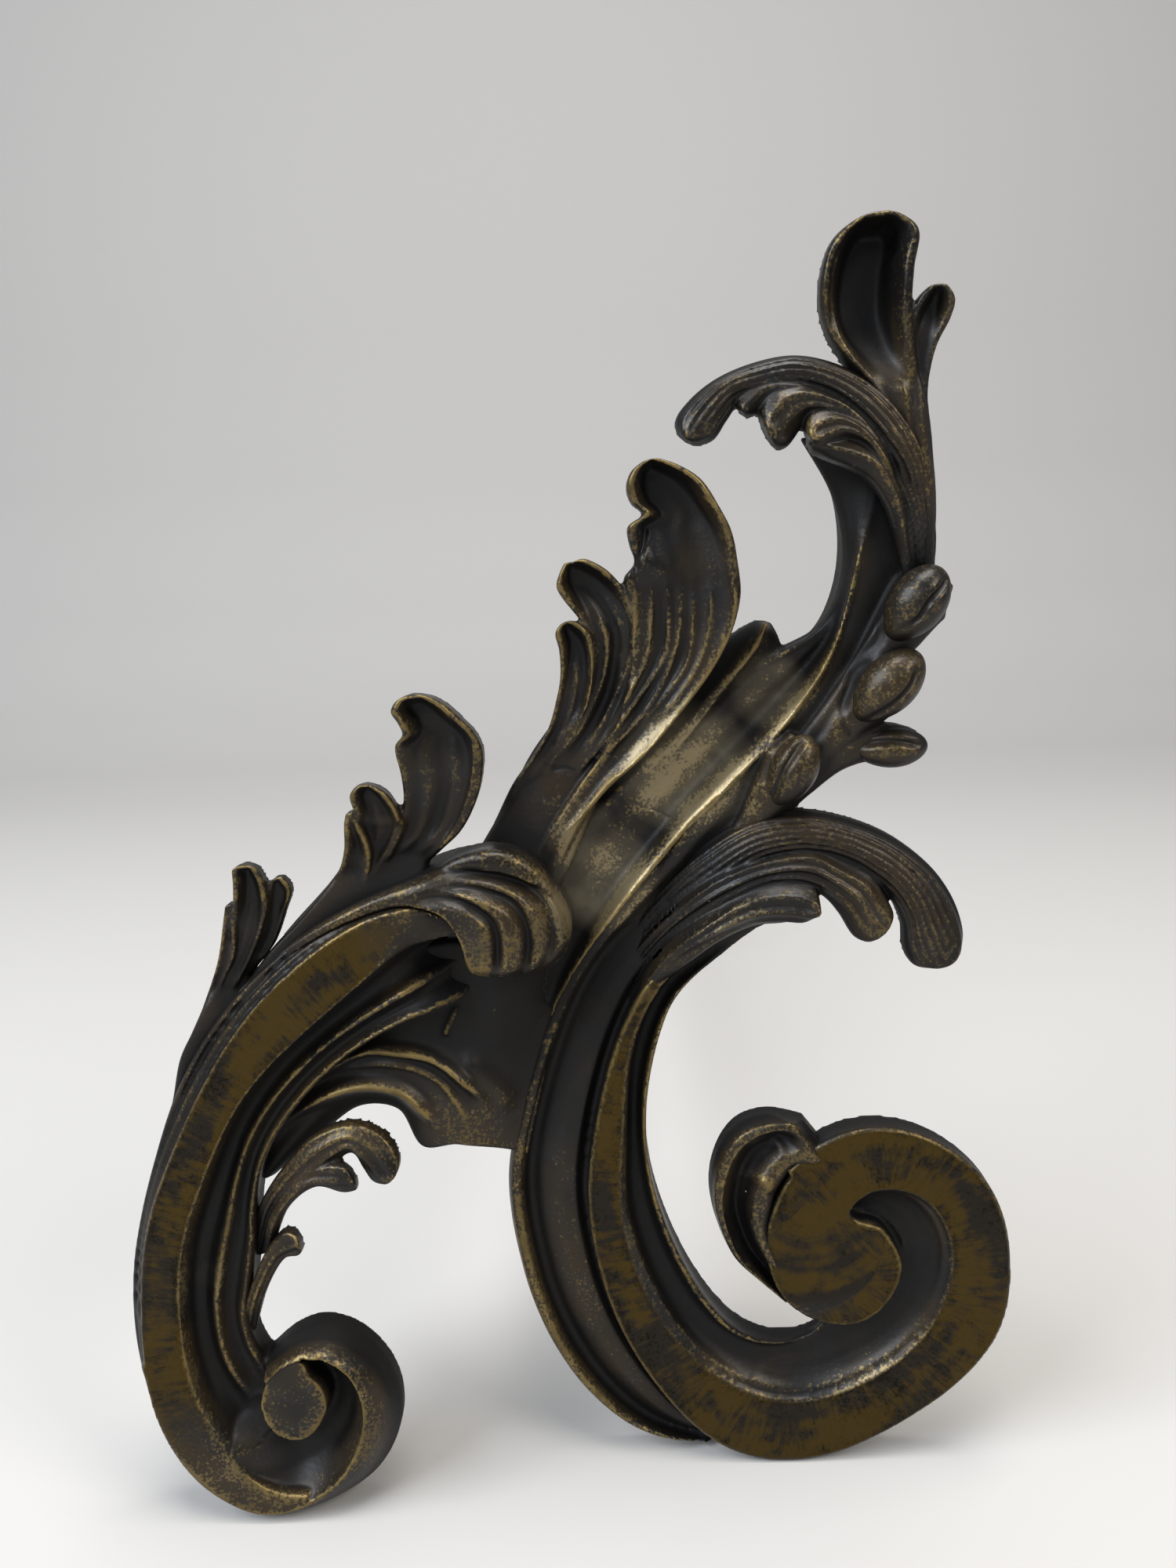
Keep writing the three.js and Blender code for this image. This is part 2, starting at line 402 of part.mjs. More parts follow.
const voluteLeaf = [
  { left: [[32, 72], [28, 72], [23, 72], [20, 69.5], [17.5, 65], [16.5, 60.5], [16.5, 57], [17.5, 51], [20.5, 45.5], [25, 39.5], [30, 35]],
    right: [[37, 66.5], [33, 65.5], [31, 64], [29, 61.5], [27, 58], [26, 55], [25, 52], [25.5, 48.5], [26.5, 43.5], [28.5, 38.5], [32.5, 33.5]],
    face: (u) => -2 + 3 * Math.sin(Math.PI * u), back: 6, columns: 4, steps: 14 },
];

// Bud: an egg on a round stalk, turned about its own length and laid in the plane of the front.
function bud({ middle, length, width, turn, stalk, y }, grow = 0) {
  const [stalkRadius, stalkLength] = stalk;
  const first = Math.asin(stalkRadius / width);
  const turns = 7;
  const profile = [[stalkRadius, -length - stalkLength - grow]];
  for (let i = 0; i <= turns; i += 1) {
    const angle = lerp(first, 0.93 * Math.PI, i / turns);
    profile.push([width * Math.sin(angle), -length * Math.cos(angle) + (i === turns ? grow : 0)]);
  }
  const along = new THREE.Vector3(Math.cos(turn), 0, Math.sin(turn));
  const across = new THREE.Vector3(-Math.sin(turn), 0, Math.cos(turn));
  const depth = new THREE.Vector3(0, 1, 0);
  return solidFromRings(profile.map(([radius, distance]) => Array.from({ length: BUD_SIDES }, (_, k) => {
    const angle = (k / BUD_SIDES) * 2 * Math.PI;
    return new THREE.Vector3(middle[0], y, middle[1])
      .addScaledVector(along, distance)
      .addScaledVector(across, (radius + grow) * Math.cos(angle))
      .addScaledVector(depth, (radius + grow) * Math.sin(angle));
  })));
}

const BUDS = [
  { name: "bud_top", middle: [51.5, 165], length: 7.5, width: 5.2, turn: 1.15, stalk: [2, 6], y: -2 },
  { name: "bud_middle", middle: [46.8, 151], length: 7.5, width: 5, turn: 0.85, stalk: [2, 8], y: -2 },
  { name: "bud_side", middle: [48.5, 140.5], length: 6, width: 3.2, turn: 0.1, stalk: [1.6, 6], y: 0 },
  { name: "bud_lower", middle: [31.3, 136.5], length: 6.5, width: 4.5, turn: 0.95, stalk: [1.8, 6], y: -2 },
];

// ---- Iron work and fasteners ----------------------------------------------------------

const TANG_BOTTOM = BAR_TOP - BAR_SIDE;
const TANG_TOP = TANG_BOTTOM + TANG_HEIGHT;
const LUG_BACK = SCROLL_BACK + LUG_THICK;
const TANG_FRONT = LUG_BACK + SEAM;
const TANG_BACK = TANG_FRONT + TANG_THICK;
const BAR_END = TANG_FRONT + BAR_LENGTH;
const barX = [BAR_X - BAR_SIDE / 2, BAR_X + BAR_SIDE / 2];
const BOLT_Z = [TANG_TOP - BOLT_EDGE, TANG_TOP - BOLT_EDGE - BOLT_PITCH];
const LEG_Y = BAR_END - BAR_SIDE;

const lug = box([barX[0] - LUG_MARGIN, barX[1] + LUG_MARGIN], [SCROLL_BACK - 2, LUG_BACK],
  [TANG_BOTTOM - LUG_MARGIN, TANG_TOP + LUG_MARGIN]);

const boltHole = (z, extra) => turned([[BOLT_RADIUS + extra, -BOLT_REACH - extra], [BOLT_RADIUS + extra, 20]],
  [BAR_X, LUG_BACK, z]);

function squareBolt(z) {
  const seat = TANG_BACK + SEAM + WASHER[1] + SEAM;
  const half = BOLT_HEAD[0] / 2;
  const head = box([BAR_X - half, BAR_X + half], [seat, seat + BOLT_HEAD[1]], [z - half, z + half]);
  const shank = turned([[BOLT_RADIUS, -BOLT_REACH], [BOLT_RADIUS, seat - LUG_BACK + 1]], [BAR_X, LUG_BACK, z]);
  return head.add(shank);
}

function washer(z) {
  const at = [BAR_X, TANG_BACK + SEAM, z];
  return turned([[WASHER[0], 0], [WASHER[0], WASHER[1]]], at).subtract(boltHole(z, SEAM));
}

const tenonAt = [BAR_X, LEG_Y, TANG_BOTTOM];
const logBar = join([
  box(barX, [TANG_FRONT, TANG_BACK], [TANG_BOTTOM, TANG_TOP]),
  box(barX, [TANG_FRONT, BAR_END], [TANG_BOTTOM, BAR_TOP]),
]).subtract(join(BOLT_Z.map((z) => boltHole(z, SEAM))))
  .subtract(turned([[TENON_RADIUS + SEAM, -1], [TENON_RADIUS + SEAM, BAR_SIDE + 1]], tenonAt, "z"));

const legTop = TANG_BOTTOM - SEAM;
const rearLeg = join([
  box(barX, [LEG_Y - BAR_SIDE / 2, LEG_Y + BAR_SIDE / 2], [FLOOR + LEG_FOOT[2] / 2, legTop]),
  box([BAR_X - LEG_FOOT[0] / 2, BAR_X + LEG_FOOT[0] / 2], [LEG_Y - LEG_FOOT[1] / 2, LEG_Y + LEG_FOOT[1] / 2],
    [FLOOR, FLOOR + LEG_FOOT[2]]),
  turned([[TENON_RADIUS, -2], [TENON_RADIUS, BAR_SIDE + SEAM + 0.5]], tenonAt, "z"),
  turned([[TENON_HEAD[0], BAR_SIDE + SEAM], [TENON_HEAD[0] * 0.9, BAR_SIDE + SEAM + TENON_HEAD[1] * 0.6],
    [TENON_HEAD[0] * 0.5, BAR_SIDE + SEAM + TENON_HEAD[1]]], tenonAt, "z"),
]);

// Screws from behind: [x, z] and the depths of the face they bear on and of the far casting.
const SPLICE_AT = [16, 130];
const splicePlate = box([SPLICE_AT[0] - SPLICE[0] / 2, SPLICE_AT[0] + SPLICE[0] / 2],
  [STEM_BACK + SEAM, STEM_BACK + SEAM + SPLICE[2]], [SPLICE_AT[1] - SPLICE[1] / 2, SPLICE_AT[1] + SPLICE[1] / 2]);
const SCREWS = [
  { name: "splice_screw_upper", at: [16, 136], bears: STEM_BACK + SEAM + SPLICE[2], reach: STEM_BACK - SCREW_REACH },
  { name: "splice_screw_lower", at: [16, 124], bears: STEM_BACK + SEAM + SPLICE[2], reach: STEM_BACK - SCREW_REACH },
  { name: "arm_screw_upper", at: [-44, 99], bears: WEB_BACK, reach: ARM_BACK - SCREW_REACH },
  { name: "arm_screw_lower", at: [-62, 79], bears: WEB_BACK, reach: ARM_BACK - SCREW_REACH },
];
const screw = ({ at, bears, reach }, grow = 0) => turned([
  [SCREW_RADIUS + grow, reach - grow], [SCREW_RADIUS + grow, bears + SEAM - grow],
  [SCREW_HEAD[0] + grow, bears + SEAM - grow + 0.01], [SCREW_HEAD[0] + grow, bears + SEAM + SCREW_HEAD[1] + grow],
], [at[0], 0, at[1]]);

// ---- Assembly -----------------------------------------------------------------------

const group = new THREE.Group();
const placed = [];

function addNode(name, solid, finish) {
  const mesh = solid.getMesh();
  const positions = new Float32Array(mesh.numVert * 3);
  for (let i = 0; i < mesh.numVert; i += 1) {
    positions.set(mesh.vertProperties.subarray(i * mesh.numProp, i * mesh.numProp + 3), i * 3);
  }
  const geometry = new THREE.BufferGeometry();
  geometry.setAttribute("position", new THREE.BufferAttribute(positions, 3));
  geometry.setIndex(new THREE.BufferAttribute(new Uint32Array(mesh.triVerts), 1));
  geometry.computeVertexNormals();
  const node = new THREE.Mesh(geometry, new THREE.MeshStandardMaterial({ ...finish, flatShading: true }));
  node.name = name;
  group.add(node);
}

// Castings in the order in which they are laid: each is cut back from all before it.
const screwCutters = SCREWS.map((item) => screw(item, SEAM));
const holes = join([...screwCutters, ...BOLT_Z.map((z) => boltHole(z, SEAM))]);
const underFloor = box([-120, 120], [-40, 40], [FLOOR - 5, FLOOR]);

function addCasting(name, make, finish) {
  const whole = make(0).simplify(FACET);
  let solid = whole;
  for (const other of placed) {
    solid = solid.subtract(other);
  }
  solid = weld(mainBody(solid.subtract(holes).subtract(underFloor).simplify(SLIVER)));
  placed.push(make(SEAM).add(whole));
  addNode(name, solid, finish);
}

const fromStrips = (strips) => (grow) => join(strips.map((item) => strip(item, grow)));

addCasting("right_scroll", (grow) => join([
  ...rightScroll.map((item) => strip(item, grow)),
  plate({ outline: EYE_PLATE, from: BAND_FACE + EYE_STEP, to: SCROLL_BACK, steps: 44 }, grow),
  ...(grow > 0 ? [] : [lug]),
]), PATINA);
addCasting("left_arm", (grow) => join([
  ...leftArm.map((item) => strip(item, grow)),
  plate(footPlate, grow),
  turned([[FOOT_EYE_RADIUS + grow, ARM_BACK - 1], [FOOT_EYE_RADIUS + grow, ARM_FACE + 1.5 - grow],
    [FOOT_EYE_RADIUS * 0.8 + grow, ARM_FACE + 0.3 - grow]], [FOOT_EYE[0], 0, FOOT_EYE[1]]),
]), PATINA);
addCasting("stem", fromStrips(stem), PATINA);
addCasting("arch_web", fromStrips(archWeb), PATINA);
addCasting("knuckle_leaf", fromStrips(knuckleLeaf), RUBBED);
addCasting("tall_leaf", fromStrips(tallLeaf), RUBBED);
addCasting("crown_leaf", fromStrips(crownLeaf), PATINA);
addCasting("crown_side_leaf", fromStrips(crownSideLeaf), RUBBED);
addCasting("drooping_leaf", fromStrips(droopingLeaf), RUBBED);
addCasting("shoulder_leaf", fromStrips(shoulderLeaf), RUBBED);
addCasting("outer_leaf", fromStrips(outerLeaf), RUBBED);
addCasting("inner_leaf", fromStrips(innerLeaf), PATINA);
addCasting("inner_sprig", fromStrips(innerSprig), PATINA);
addCasting("volute_leaf", fromStrips(voluteLeaf), PATINA);
for (const item of BUDS) {
  addCasting(item.name, (grow) => bud(item, grow), PATINA);
}

addNode("splice_plate", splicePlate.subtract(holes), IRON);
for (const item of SCREWS) {
  addNode(item.name, screw(item), IRON);
}
addNode("log_bar", logBar, IRON);
addNode("rear_leg", rearLeg, IRON);
BOLT_Z.forEach((z, i) => {
  const place = i === 0 ? "upper" : "lower";
  addNode(`tang_bolt_${place}`, squareBolt(z), IRON);
  addNode(`tang_washer_${place}`, washer(z), IRON);
});

const bounds = new THREE.Box3().setFromObject(group);
const middle = bounds.getCenter(new THREE.Vector3());
group.position.set(-middle.x, -middle.y, -bounds.min.z);

export default group;
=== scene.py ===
"""Andiron: the finish of a scrolled cast-bronze front on its wrought-iron log bar.

Lengths are drawn in millimetres in the drawing's own frame: x to the right, z up, and y away
from the viewer, with y = 0 on the flat band of the right scroll. A finished mesh is turned
into metres in the model's frame at the end.
"""

import math

import bmesh
import bpy
import numpy as np
from mathutils import Matrix, Vector


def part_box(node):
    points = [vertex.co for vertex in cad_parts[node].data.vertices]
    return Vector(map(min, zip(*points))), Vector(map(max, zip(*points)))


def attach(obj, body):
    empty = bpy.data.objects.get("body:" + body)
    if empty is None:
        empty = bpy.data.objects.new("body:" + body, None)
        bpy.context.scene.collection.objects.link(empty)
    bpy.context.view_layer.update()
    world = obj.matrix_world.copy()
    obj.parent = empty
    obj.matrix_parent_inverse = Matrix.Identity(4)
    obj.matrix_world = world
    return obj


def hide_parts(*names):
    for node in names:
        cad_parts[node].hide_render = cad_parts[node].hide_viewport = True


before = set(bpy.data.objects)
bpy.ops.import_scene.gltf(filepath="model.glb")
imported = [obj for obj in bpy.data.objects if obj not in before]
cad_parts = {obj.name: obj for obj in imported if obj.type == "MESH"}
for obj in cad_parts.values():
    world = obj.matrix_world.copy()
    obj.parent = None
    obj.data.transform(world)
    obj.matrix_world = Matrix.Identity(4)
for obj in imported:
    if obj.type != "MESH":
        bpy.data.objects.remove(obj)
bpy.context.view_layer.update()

MM = 0.001
TINY = 1e-6
FOREMOST = -14.4  # no part of the front comes nearer than this
GROUND = 0.42  # no casting comes lower than this
BAR_CORNER = np.array([-12.0, 12.3, 52.0])  # lowest corner of the log bar in the drawing
DRAWING_ORIGIN = np.array(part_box("log_bar")[0]) - BAR_CORNER * MM


# ---- Shaping ---------------------------------------------------------------------------

def ease(x, low, high):
    """0 below low, 1 above high, and smooth between."""
    s = np.clip((x - low) / (high - low), 0.0, 1.0)
    return s * s * (3.0 - 2.0 * s)


def hump(x, centre, width):
    """A smooth bump, 1 at its centre."""
    return np.exp(-((x - centre) / width) ** 2)


def along(points, t):
    """Points of a smooth curve through the given ones. t goes from 0 to 1, evenly from point to point."""
    if callable(points):
        return points(t)
    p = np.asarray(points, float)
    q = np.vstack([2 * p[0] - p[1], p, 2 * p[-1] - p[-2]])
    s = np.clip(t, 0.0, 1.0) * (len(p) - 1)
    i = np.minimum(s.astype(int), len(p) - 2)
    f = (s - i)[:, None]
    p0, p1, p2, p3 = q[i], q[i + 1], q[i + 2], q[i + 3]
    d0, d1, d2 = (np.sqrt(np.linalg.norm(b - a, axis=1))[:, None] + TINY
                  for a, b in ((p0, p1), (p1, p2), (p2, p3)))
    m1 = ((p1 - p0) / d0 - (p2 - p0) / (d0 + d1) + (p2 - p1) / d1) * d1
    m2 = ((p2 - p1) / d1 - (p3 - p1) / (d1 + d2) + (p3 - p2) / d2) * d1
    return ((2 * f ** 3 - 3 * f ** 2 + 1) * p1 + (f ** 3 - 2 * f ** 2 + f) * m1
            + (3 * f ** 2 - 2 * f ** 3) * p2 + (f ** 3 - f ** 2) * m2)


def fair(points, rounds=2):
    """Takes the small waves out of a traced curve, and keeps its ends."""
    p = np.array(points, float)
    for _ in range(rounds):
        for pull in (0.5, -0.52):
            p[1:-1] += pull * ((p[:-2] + p[2:]) / 2 - p[1:-1])
    return p


def listed(values, t):
    """A value that changes along a piece, from a few values evenly spaced on it."""
    return np.interp(t, np.linspace(0, 1, len(values)), values)


def moulding(*corners):
    """Depth across a strip from (share of the width, depth) corners."""
    shares, depths = zip(*corners)
    return lambda u, t, e=None: np.interp(u, shares, depths)


def slab(bm, faces):
    """Pulls the far side out of an open sheet and returns all corners, the far ones at z = 1."""
    near = {v for f in faces for v in f.verts}
    made = bmesh.ops.extrude_face_region(bm, geom=faces)["geom"]
    far = [g for g in made if isinstance(g, bmesh.types.BMVert)]
    for v in far:
        v.co.z = 1.0
    return list(near) + far


def quarter(e, radius):
    """How far a rounded edge falls back at the distance e from it."""
    return radius * (1 - np.sqrt(1 - (1 - np.clip(e / radius, 0, 1)) ** 2))


TIP_SAMPLES = 60
THIN_MARGIN = 6  # how far in from its edge a body thins, in millimetres


def strip(bm, left, right, front, back, across=24, steps=80, lap=(0, 0), span=(0, 1), soft=0.0,
          sink=(0.0, 0.0), tip=False, thin=0.0):
    """Closed body between two edge curves, from the depth front(u, t, e) to the depth back.

    u goes from 0 at the left edge to 1 at the right one, t from 0 to 1 along them, and e is the
    distance to the nearer edge. soft rounds the edges. sink lowers the first end of the strip
    into what it grows from: a depth and the share of the length over which it fades out. tip
    rounds the last end. thin is the thickness at the edges where it is less than in the middle.
    """
    grid = bmesh.ops.create_grid(bm, x_segments=across, y_segments=steps, size=0.5)["verts"]
    corners = slab(bm, list({f for v in grid for f in v.link_faces}))
    co = np.array([v.co[:] for v in corners])
    u = co[:, 0] + 0.5
    t = span[0] + (span[1] - span[0]) * (co[:, 1] + 0.5)
    a, b = along(left, t), along(right, t)
    width = np.linalg.norm(b - a, axis=1)
    over = (b - a) / (width[:, None] + 1e-9)
    a = a - over * lap[0]
    b = b + over * lap[1]
    share = u
    if tip:
        shares = np.linspace(0, 1, TIP_SAMPLES)
        line = (along(left, shares) + along(right, shares)) / 2
        length = np.linalg.norm(np.diff(line, axis=0), axis=1).sum()
        cap = min(0.3, 0.5 * np.linalg.norm(np.subtract(left[-1], right[-1])) / length)
        s = np.clip((t - 1 + cap) / cap, 0, 1)
        share = 0.5 + (u - 0.5) * np.sqrt(np.maximum(1 - s * s, 0.002))
    xz = a + (b - a) * share[:, None]
    e = np.minimum(share, 1 - share) * (width + lap[0] + lap[1])
    if tip:
        e = np.minimum(e, (1 - t) * length + 0.02)
    rear = back(u, t, e) if callable(back) else np.full(len(u), float(back))
    face = front(u, t, e)
    if soft:
        face = face + quarter(e, soft)
        rear = rear - 0.6 * quarter(e, soft)
    if thin:
        rear = rear - (rear - face - thin) * (1 - ease(e, 0, THIN_MARGIN))
    if sink[0]:
        face = face + sink[0] * (1 - ease(t, 0, sink[1]))
    y = np.where(co[:, 2] > 0.5, np.maximum(rear, face + 0.5), face)
    for v, (x, z), depth in zip(corners, xz, y):
        v.co = (x, depth, z)


def plate(bm, outline, front, back, segments=120):
    """Flat body inside a closed smooth outline."""
    closed = list(outline) + [outline[0]]
    ring = bmesh.ops.create_circle(bm, cap_ends=True, segments=segments, radius=1.0)["verts"]
    points = along(closed, np.arange(segments) / segments)
    for v in slab(bm, list({f for v in ring for f in v.link_faces})):
        turn = (math.atan2(v.co.y, v.co.x) / (2 * math.pi)) % 1.0
        x, z = points[int(round(turn * segments)) % segments]
        v.co = (x, back if v.co.z > 0.5 else front, z)


def rib(bm, centre, widths, tops, depth=2.5, across=10, steps=60, steep=1.0):
    """Half-round ridge along a curve. widths and tops are listed along its length."""
    def edge(side):
        def points(t):
            step = 1e-3
            d = along(centre, np.minimum(t + step, 1)) - along(centre, np.maximum(t - step, 0))
            d /= np.linalg.norm(d, axis=1)[:, None] + 1e-12
            offset = np.stack([-d[:, 1], d[:, 0]], 1) * (side * listed(widths, t) / 2)[:, None]
            return along(centre, t) + offset
        return points

    def crown(u, t, e):
        round_off = 1 - np.sqrt(np.clip(1 - (2 * u - 1) ** 2, 0, 1))
        return listed(tops, t) + steep * listed(widths, t) / 2 * round_off

    strip(bm, edge(1), edge(-1), crown, lambda u, t, e: listed(tops, t) + depth, across, steps)


def bud(bm, middle, length, width, turn, depth, rings=20, sides=32):
    """Egg-shaped bud lying in the plane of the front."""
    ball = bmesh.ops.create_uvsphere(bm, u_segments=sides, v_segments=rings, radius=1.0)["verts"]
    c, s = math.cos(turn), math.sin(turn)
    for v in ball:
        end = v.co.z
        girth = width * (1 - 0.18 * (1 - end) / 2 - 0.12 * end * end)
        p, q = v.co.x * girth, v.co.y * girth
        v.co = (middle[0] + end * length * c - p * s, depth + q, middle[1] + end * length * s + p * c)


def flutes(u, count, depth):
    """Fine parallel ribs across a leaf."""
    return depth * (0.5 - 0.5 * np.cos(2 * np.pi * count * u)) ** 0.8


def spoon(root, tip, ribs=3, rib_depth=0.5, cup=2.5, rim=2.2, start=0.45, full=0.75):
    """A lobe hollowed like a spoon towards its tip, with a thick rim, and ribs below the hollow."""
    def front(u, t, e):
        hollow = cup * ease(e, 0.5 * rim, 2.1 * rim) * ease(t, start, full)
        trough = 0.5 * cup * np.sin(np.pi * np.clip(u, 0, 1)) * (1 - ease(t, start, full)) * ease(t, 0, 0.3)
        ribbing = flutes(u, ribs, rib_depth) * ease(t, 0.05, 0.25) * (1 - ease(t, full - 0.15, full + 0.03))
        return root + (tip - root) * ease(t, 0.0, 0.9) + hollow + trough + ribbing
    return front


def finger(root, tip, ribs=3, rib_depth=0.35, swell=1.5):
    """A lobe that is round on top, with fine ribs along it."""
    def front(u, t, e):
        dome = swell * np.sin(np.pi * np.clip(u, 0, 1)) ** 0.7
        ribbing = flutes(u, ribs, rib_depth) * (1 - 0.7 * ease(t, 0.8, 0.95))
        return root + (tip - root) * t ** 1.3 - dome * ease(t, 0, 0.3) + ribbing
    return front


def lobe(bm, edges, front, back, across, steps, soft, sink, thin, lap=(0, 0)):
    """One lobe of a leaf: a strip with a rounded tip."""
    strip(bm, *edges, front, back, across, steps, lap, soft=soft, sink=sink, tip=True, thin=thin)


# ---- Curves of the castings: [x, z] -----------------------------------------------------

RIDGE = [[13.5, 128], [7.5, 120], [1.5, 113.5], [-5.5, 104.5], [-9, 98.5], [-12, 92.5], [-15.5, 85],
         [-18, 76.5], [-20.5, 67.5], [-22, 60], [-21.5, 52], [-20.5, 44.5], [-18.5, 34.5], [-15, 25],
         [-8.5, 15], [-1, 6.5], [10, 2.5]]
BAND_OUTER = [[30, 122], [26, 114.5], [16, 107], [9, 103], [5, 98], [1, 91], [-1.5, 84.5], [-3.5, 77],
              [-5.5, 68.5], [-6.5, 60], [-6.5, 53], [-5.5, 45.5], [-3.5, 36], [-0.5, 27.5], [5, 18],
              [11.5, 9], [17.5, 4.5]]
VOLUTE_OUTER = [[24, 1.5], [31, 0.6], [40.5, 2], [48, 6], [55, 10.5], [61, 14.5], [66.5, 20.5],
                [70, 26.5], [72, 32], [72.5, 41], [71, 51], [68, 57], [62.5, 64], [54, 68.5],
                [47.5, 69.5], [40.5, 68.5], [35, 66], [30.5, 61.5]]
BAND_INNER = [[17, 105], [10.5, 101], [7, 96], [3.5, 90], [1.5, 83], [1, 76.5], [0.5, 68], [-0.5, 60],
              [0, 53], [1.5, 46], [4, 37], [9, 28.5], [14.5, 21.5], [21.5, 17], [27.5, 14.5]]
GROOVE_OUTER = [[34, 14], [41, 16], [48.5, 20], [53.5, 24.5], [57, 28.5], [59.5, 34.5], [61, 40],
                [61, 44], [60, 49], [58, 52.5], [54.5, 56], [50, 57], [46, 56.5], [43.5, 55], [42, 52]]
EYE_MIDDLE = [[40, 50.5], [38, 49]]
OPENING = [[18.5, 103], [13, 98.5], [10, 94], [8, 89], [6, 82], [5, 75.5], [4.5, 67], [5.5, 60],
           [7, 53.5], [9, 47.5], [12.5, 39], [17, 32], [21.5, 27], [26, 24.5], [31, 23.5], [36, 24.5],
           [40, 27.5]]
EYE_EDGE = [[42, 29], [45.5, 30.5], [49, 33.5], [51.5, 38], [52, 42], [50.5, 46], [48, 49.5],
            [45, 50.5], [42, 51.5]]
EYE_PLATE = [[49, 67], [40.5, 66.5], [36, 64], [31, 60], [28, 54], [26.5, 47.5], [27.5, 40], [30, 35],
             [34, 31.5], [38, 30], [41.5, 29.5], [45.5, 30.5], [49, 33.5], [51.5, 38], [52, 42],
             [50.5, 46], [48, 49.5], [43, 51.5], [42, 54], [45, 58]]
STEM_WEB_LEFT = [[-3, 133], [-14, 124], [-14, 117.5], [-12, 111.5], [-12.5, 104], [-13, 98]]

TRUNK_LEFT = [[33.6, 193.4], [39.9, 184], [40.5, 174.5], [39.5, 167], [36.5, 161], [30.5, 158],
              [21.5, 155.5], [14, 149], [6, 141], [-2.5, 133], [-11.5, 124], [-12.5, 117.5],
              [-12.5, 111.5], [-12.5, 104], [-14, 98]]
TRUNK_RIDGE = [[46.5, 193], [45, 181], [43, 174], [41, 166.5], [39, 159.5], [37, 155], [32, 147.5],
               [26.5, 141], [19.5, 134], [13.5, 128], [7.5, 120], [1.5, 114], [-5, 105.5], [-9, 99.5],
               [-12, 93.5]]
TRUNK_RIGHT = [[55, 189], [56, 182], [56.5, 174], [56.5, 165.5], [53, 157], [49.5, 150.5],
               [44, 143.5], [37.5, 137.5], [33.5, 129], [30.5, 120]]
MOULD_LEFT = fair([*TRUNK_RIDGE, *RIDGE[6:], [20, 1.2]])
MOULD_RIGHT = fair([*TRUNK_RIGHT, [26, 114.5], *BAND_OUTER[2:], [25, 2.0]])
POINT = ([[-4, 133], [2, 139], [7.5, 145.5], [13, 152], [19, 158.5], [23, 161.4], [26.3, 163.2]],
         [[5, 130.5], [13, 137], [20, 144], [26, 151], [30.5, 156], [30.2, 159.5], [28.6, 162.8]])

ARM_OUTLINE = [[-26, 121], [-33, 120.5], [-42, 118], [-50.5, 115], [-58.5, 109], [-66.5, 102],
               [-74, 93], [-79, 84], [-83, 73], [-87, 62], [-89.5, 52], [-90.5, 42], [-90, 30],
               [-88, 21], [-84.5, 12], [-79, 5], [-72, 1], [-64, 0.4]]
ARM_BAND_OUTER = [[-26.5, 112], [-28.5, 115.5], [-34, 118], [-41, 116], [-47.5, 113], [-54.5, 108],
                  [-62, 101], [-68.5, 93.5], [-75, 82], [-80.5, 71.5], [-84, 63], [-86, 55],
                  [-87.5, 46.5], [-88, 32], [-87.5, 25], [-84.5, 15.5], [-81, 10], [-77, 6.2],
                  [-71.5, 3.4], [-66, 2.8], [-60.5, 4.8]]
ARM_BAND_INNER = [[-31, 111], [-36, 110], [-41.5, 106], [-48, 101], [-53.5, 96], [-60.5, 90.5],
                  [-64.5, 85], [-68.5, 80], [-71.5, 74], [-74, 68], [-77, 62], [-79, 55], [-80, 48],
                  [-80.5, 40.5], [-80, 33], [-79, 27], [-77, 21.5], [-74.5, 15.5], [-70.5, 9.6],
                  [-65.5, 5.8], [-60, 6]]
ARM_INNER_EDGE = [[-24, 100], [-27, 98.5], [-37, 96], [-48, 90.5], [-58.5, 79], [-64.5, 70],
                  [-66.5, 62], [-66.5, 53], [-69, 45], [-69.5, 40], [-69.5, 35], [-67, 30], [-66, 25],
                  [-68, 19]]
FOOT_OUTER = [[-90.2, 33], [-88, 21], [-84, 12], [-78, 5], [-71, 1.2], [-63, 0.5], [-55, 1], [-49, 5],
              [-45, 11], [-43, 18], [-43.5, 25], [-47, 31.5], [-52, 35.5], [-57, 36.5], [-62, 35.5],
              [-67, 31]]
FOOT_CREST = [[-88.2, 33], [-86.2, 22], [-82.3, 13.4], [-77, 6.5], [-70, 2.8], [-64, 3], [-58, 6],
              [-53, 10.5], [-50.5, 15.5], [-49, 21], [-49, 26], [-51.5, 31], [-55, 33.8], [-59.5, 33.5],
              [-63.5, 32], [-66.5, 28.5]]
FOOT_TURN = [[-79, 10], [-70, 2.8], [-64, 3], [-58, 6], [-53, 10.5], [-50.5, 15.5], [-49, 21],
             [-49, 26], [-51.5, 31], [-55, 33.8], [-58.5, 33.6]]
FOOT_EYE_EDGE = [[-72, 20], [-69, 21], [-66.5, 19.5], [-64.5, 17.5], [-61.5, 17], [-59, 18],
                 [-56.8, 20.5], [-55.7, 23.5], [-56, 26.5], [-57.3, 28.8], [-59, 30]]
FOOT_EYE = [[-66, 29.5], [-67.5, 25], [-67, 21], [-64.8, 17.9], [-61.5, 16.9], [-58.7, 17.9],
            [-56.4, 20.9], [-55.5, 24], [-56.3, 27.2], [-58.3, 29.6], [-59.5, 32.5], [-63, 32.3]]

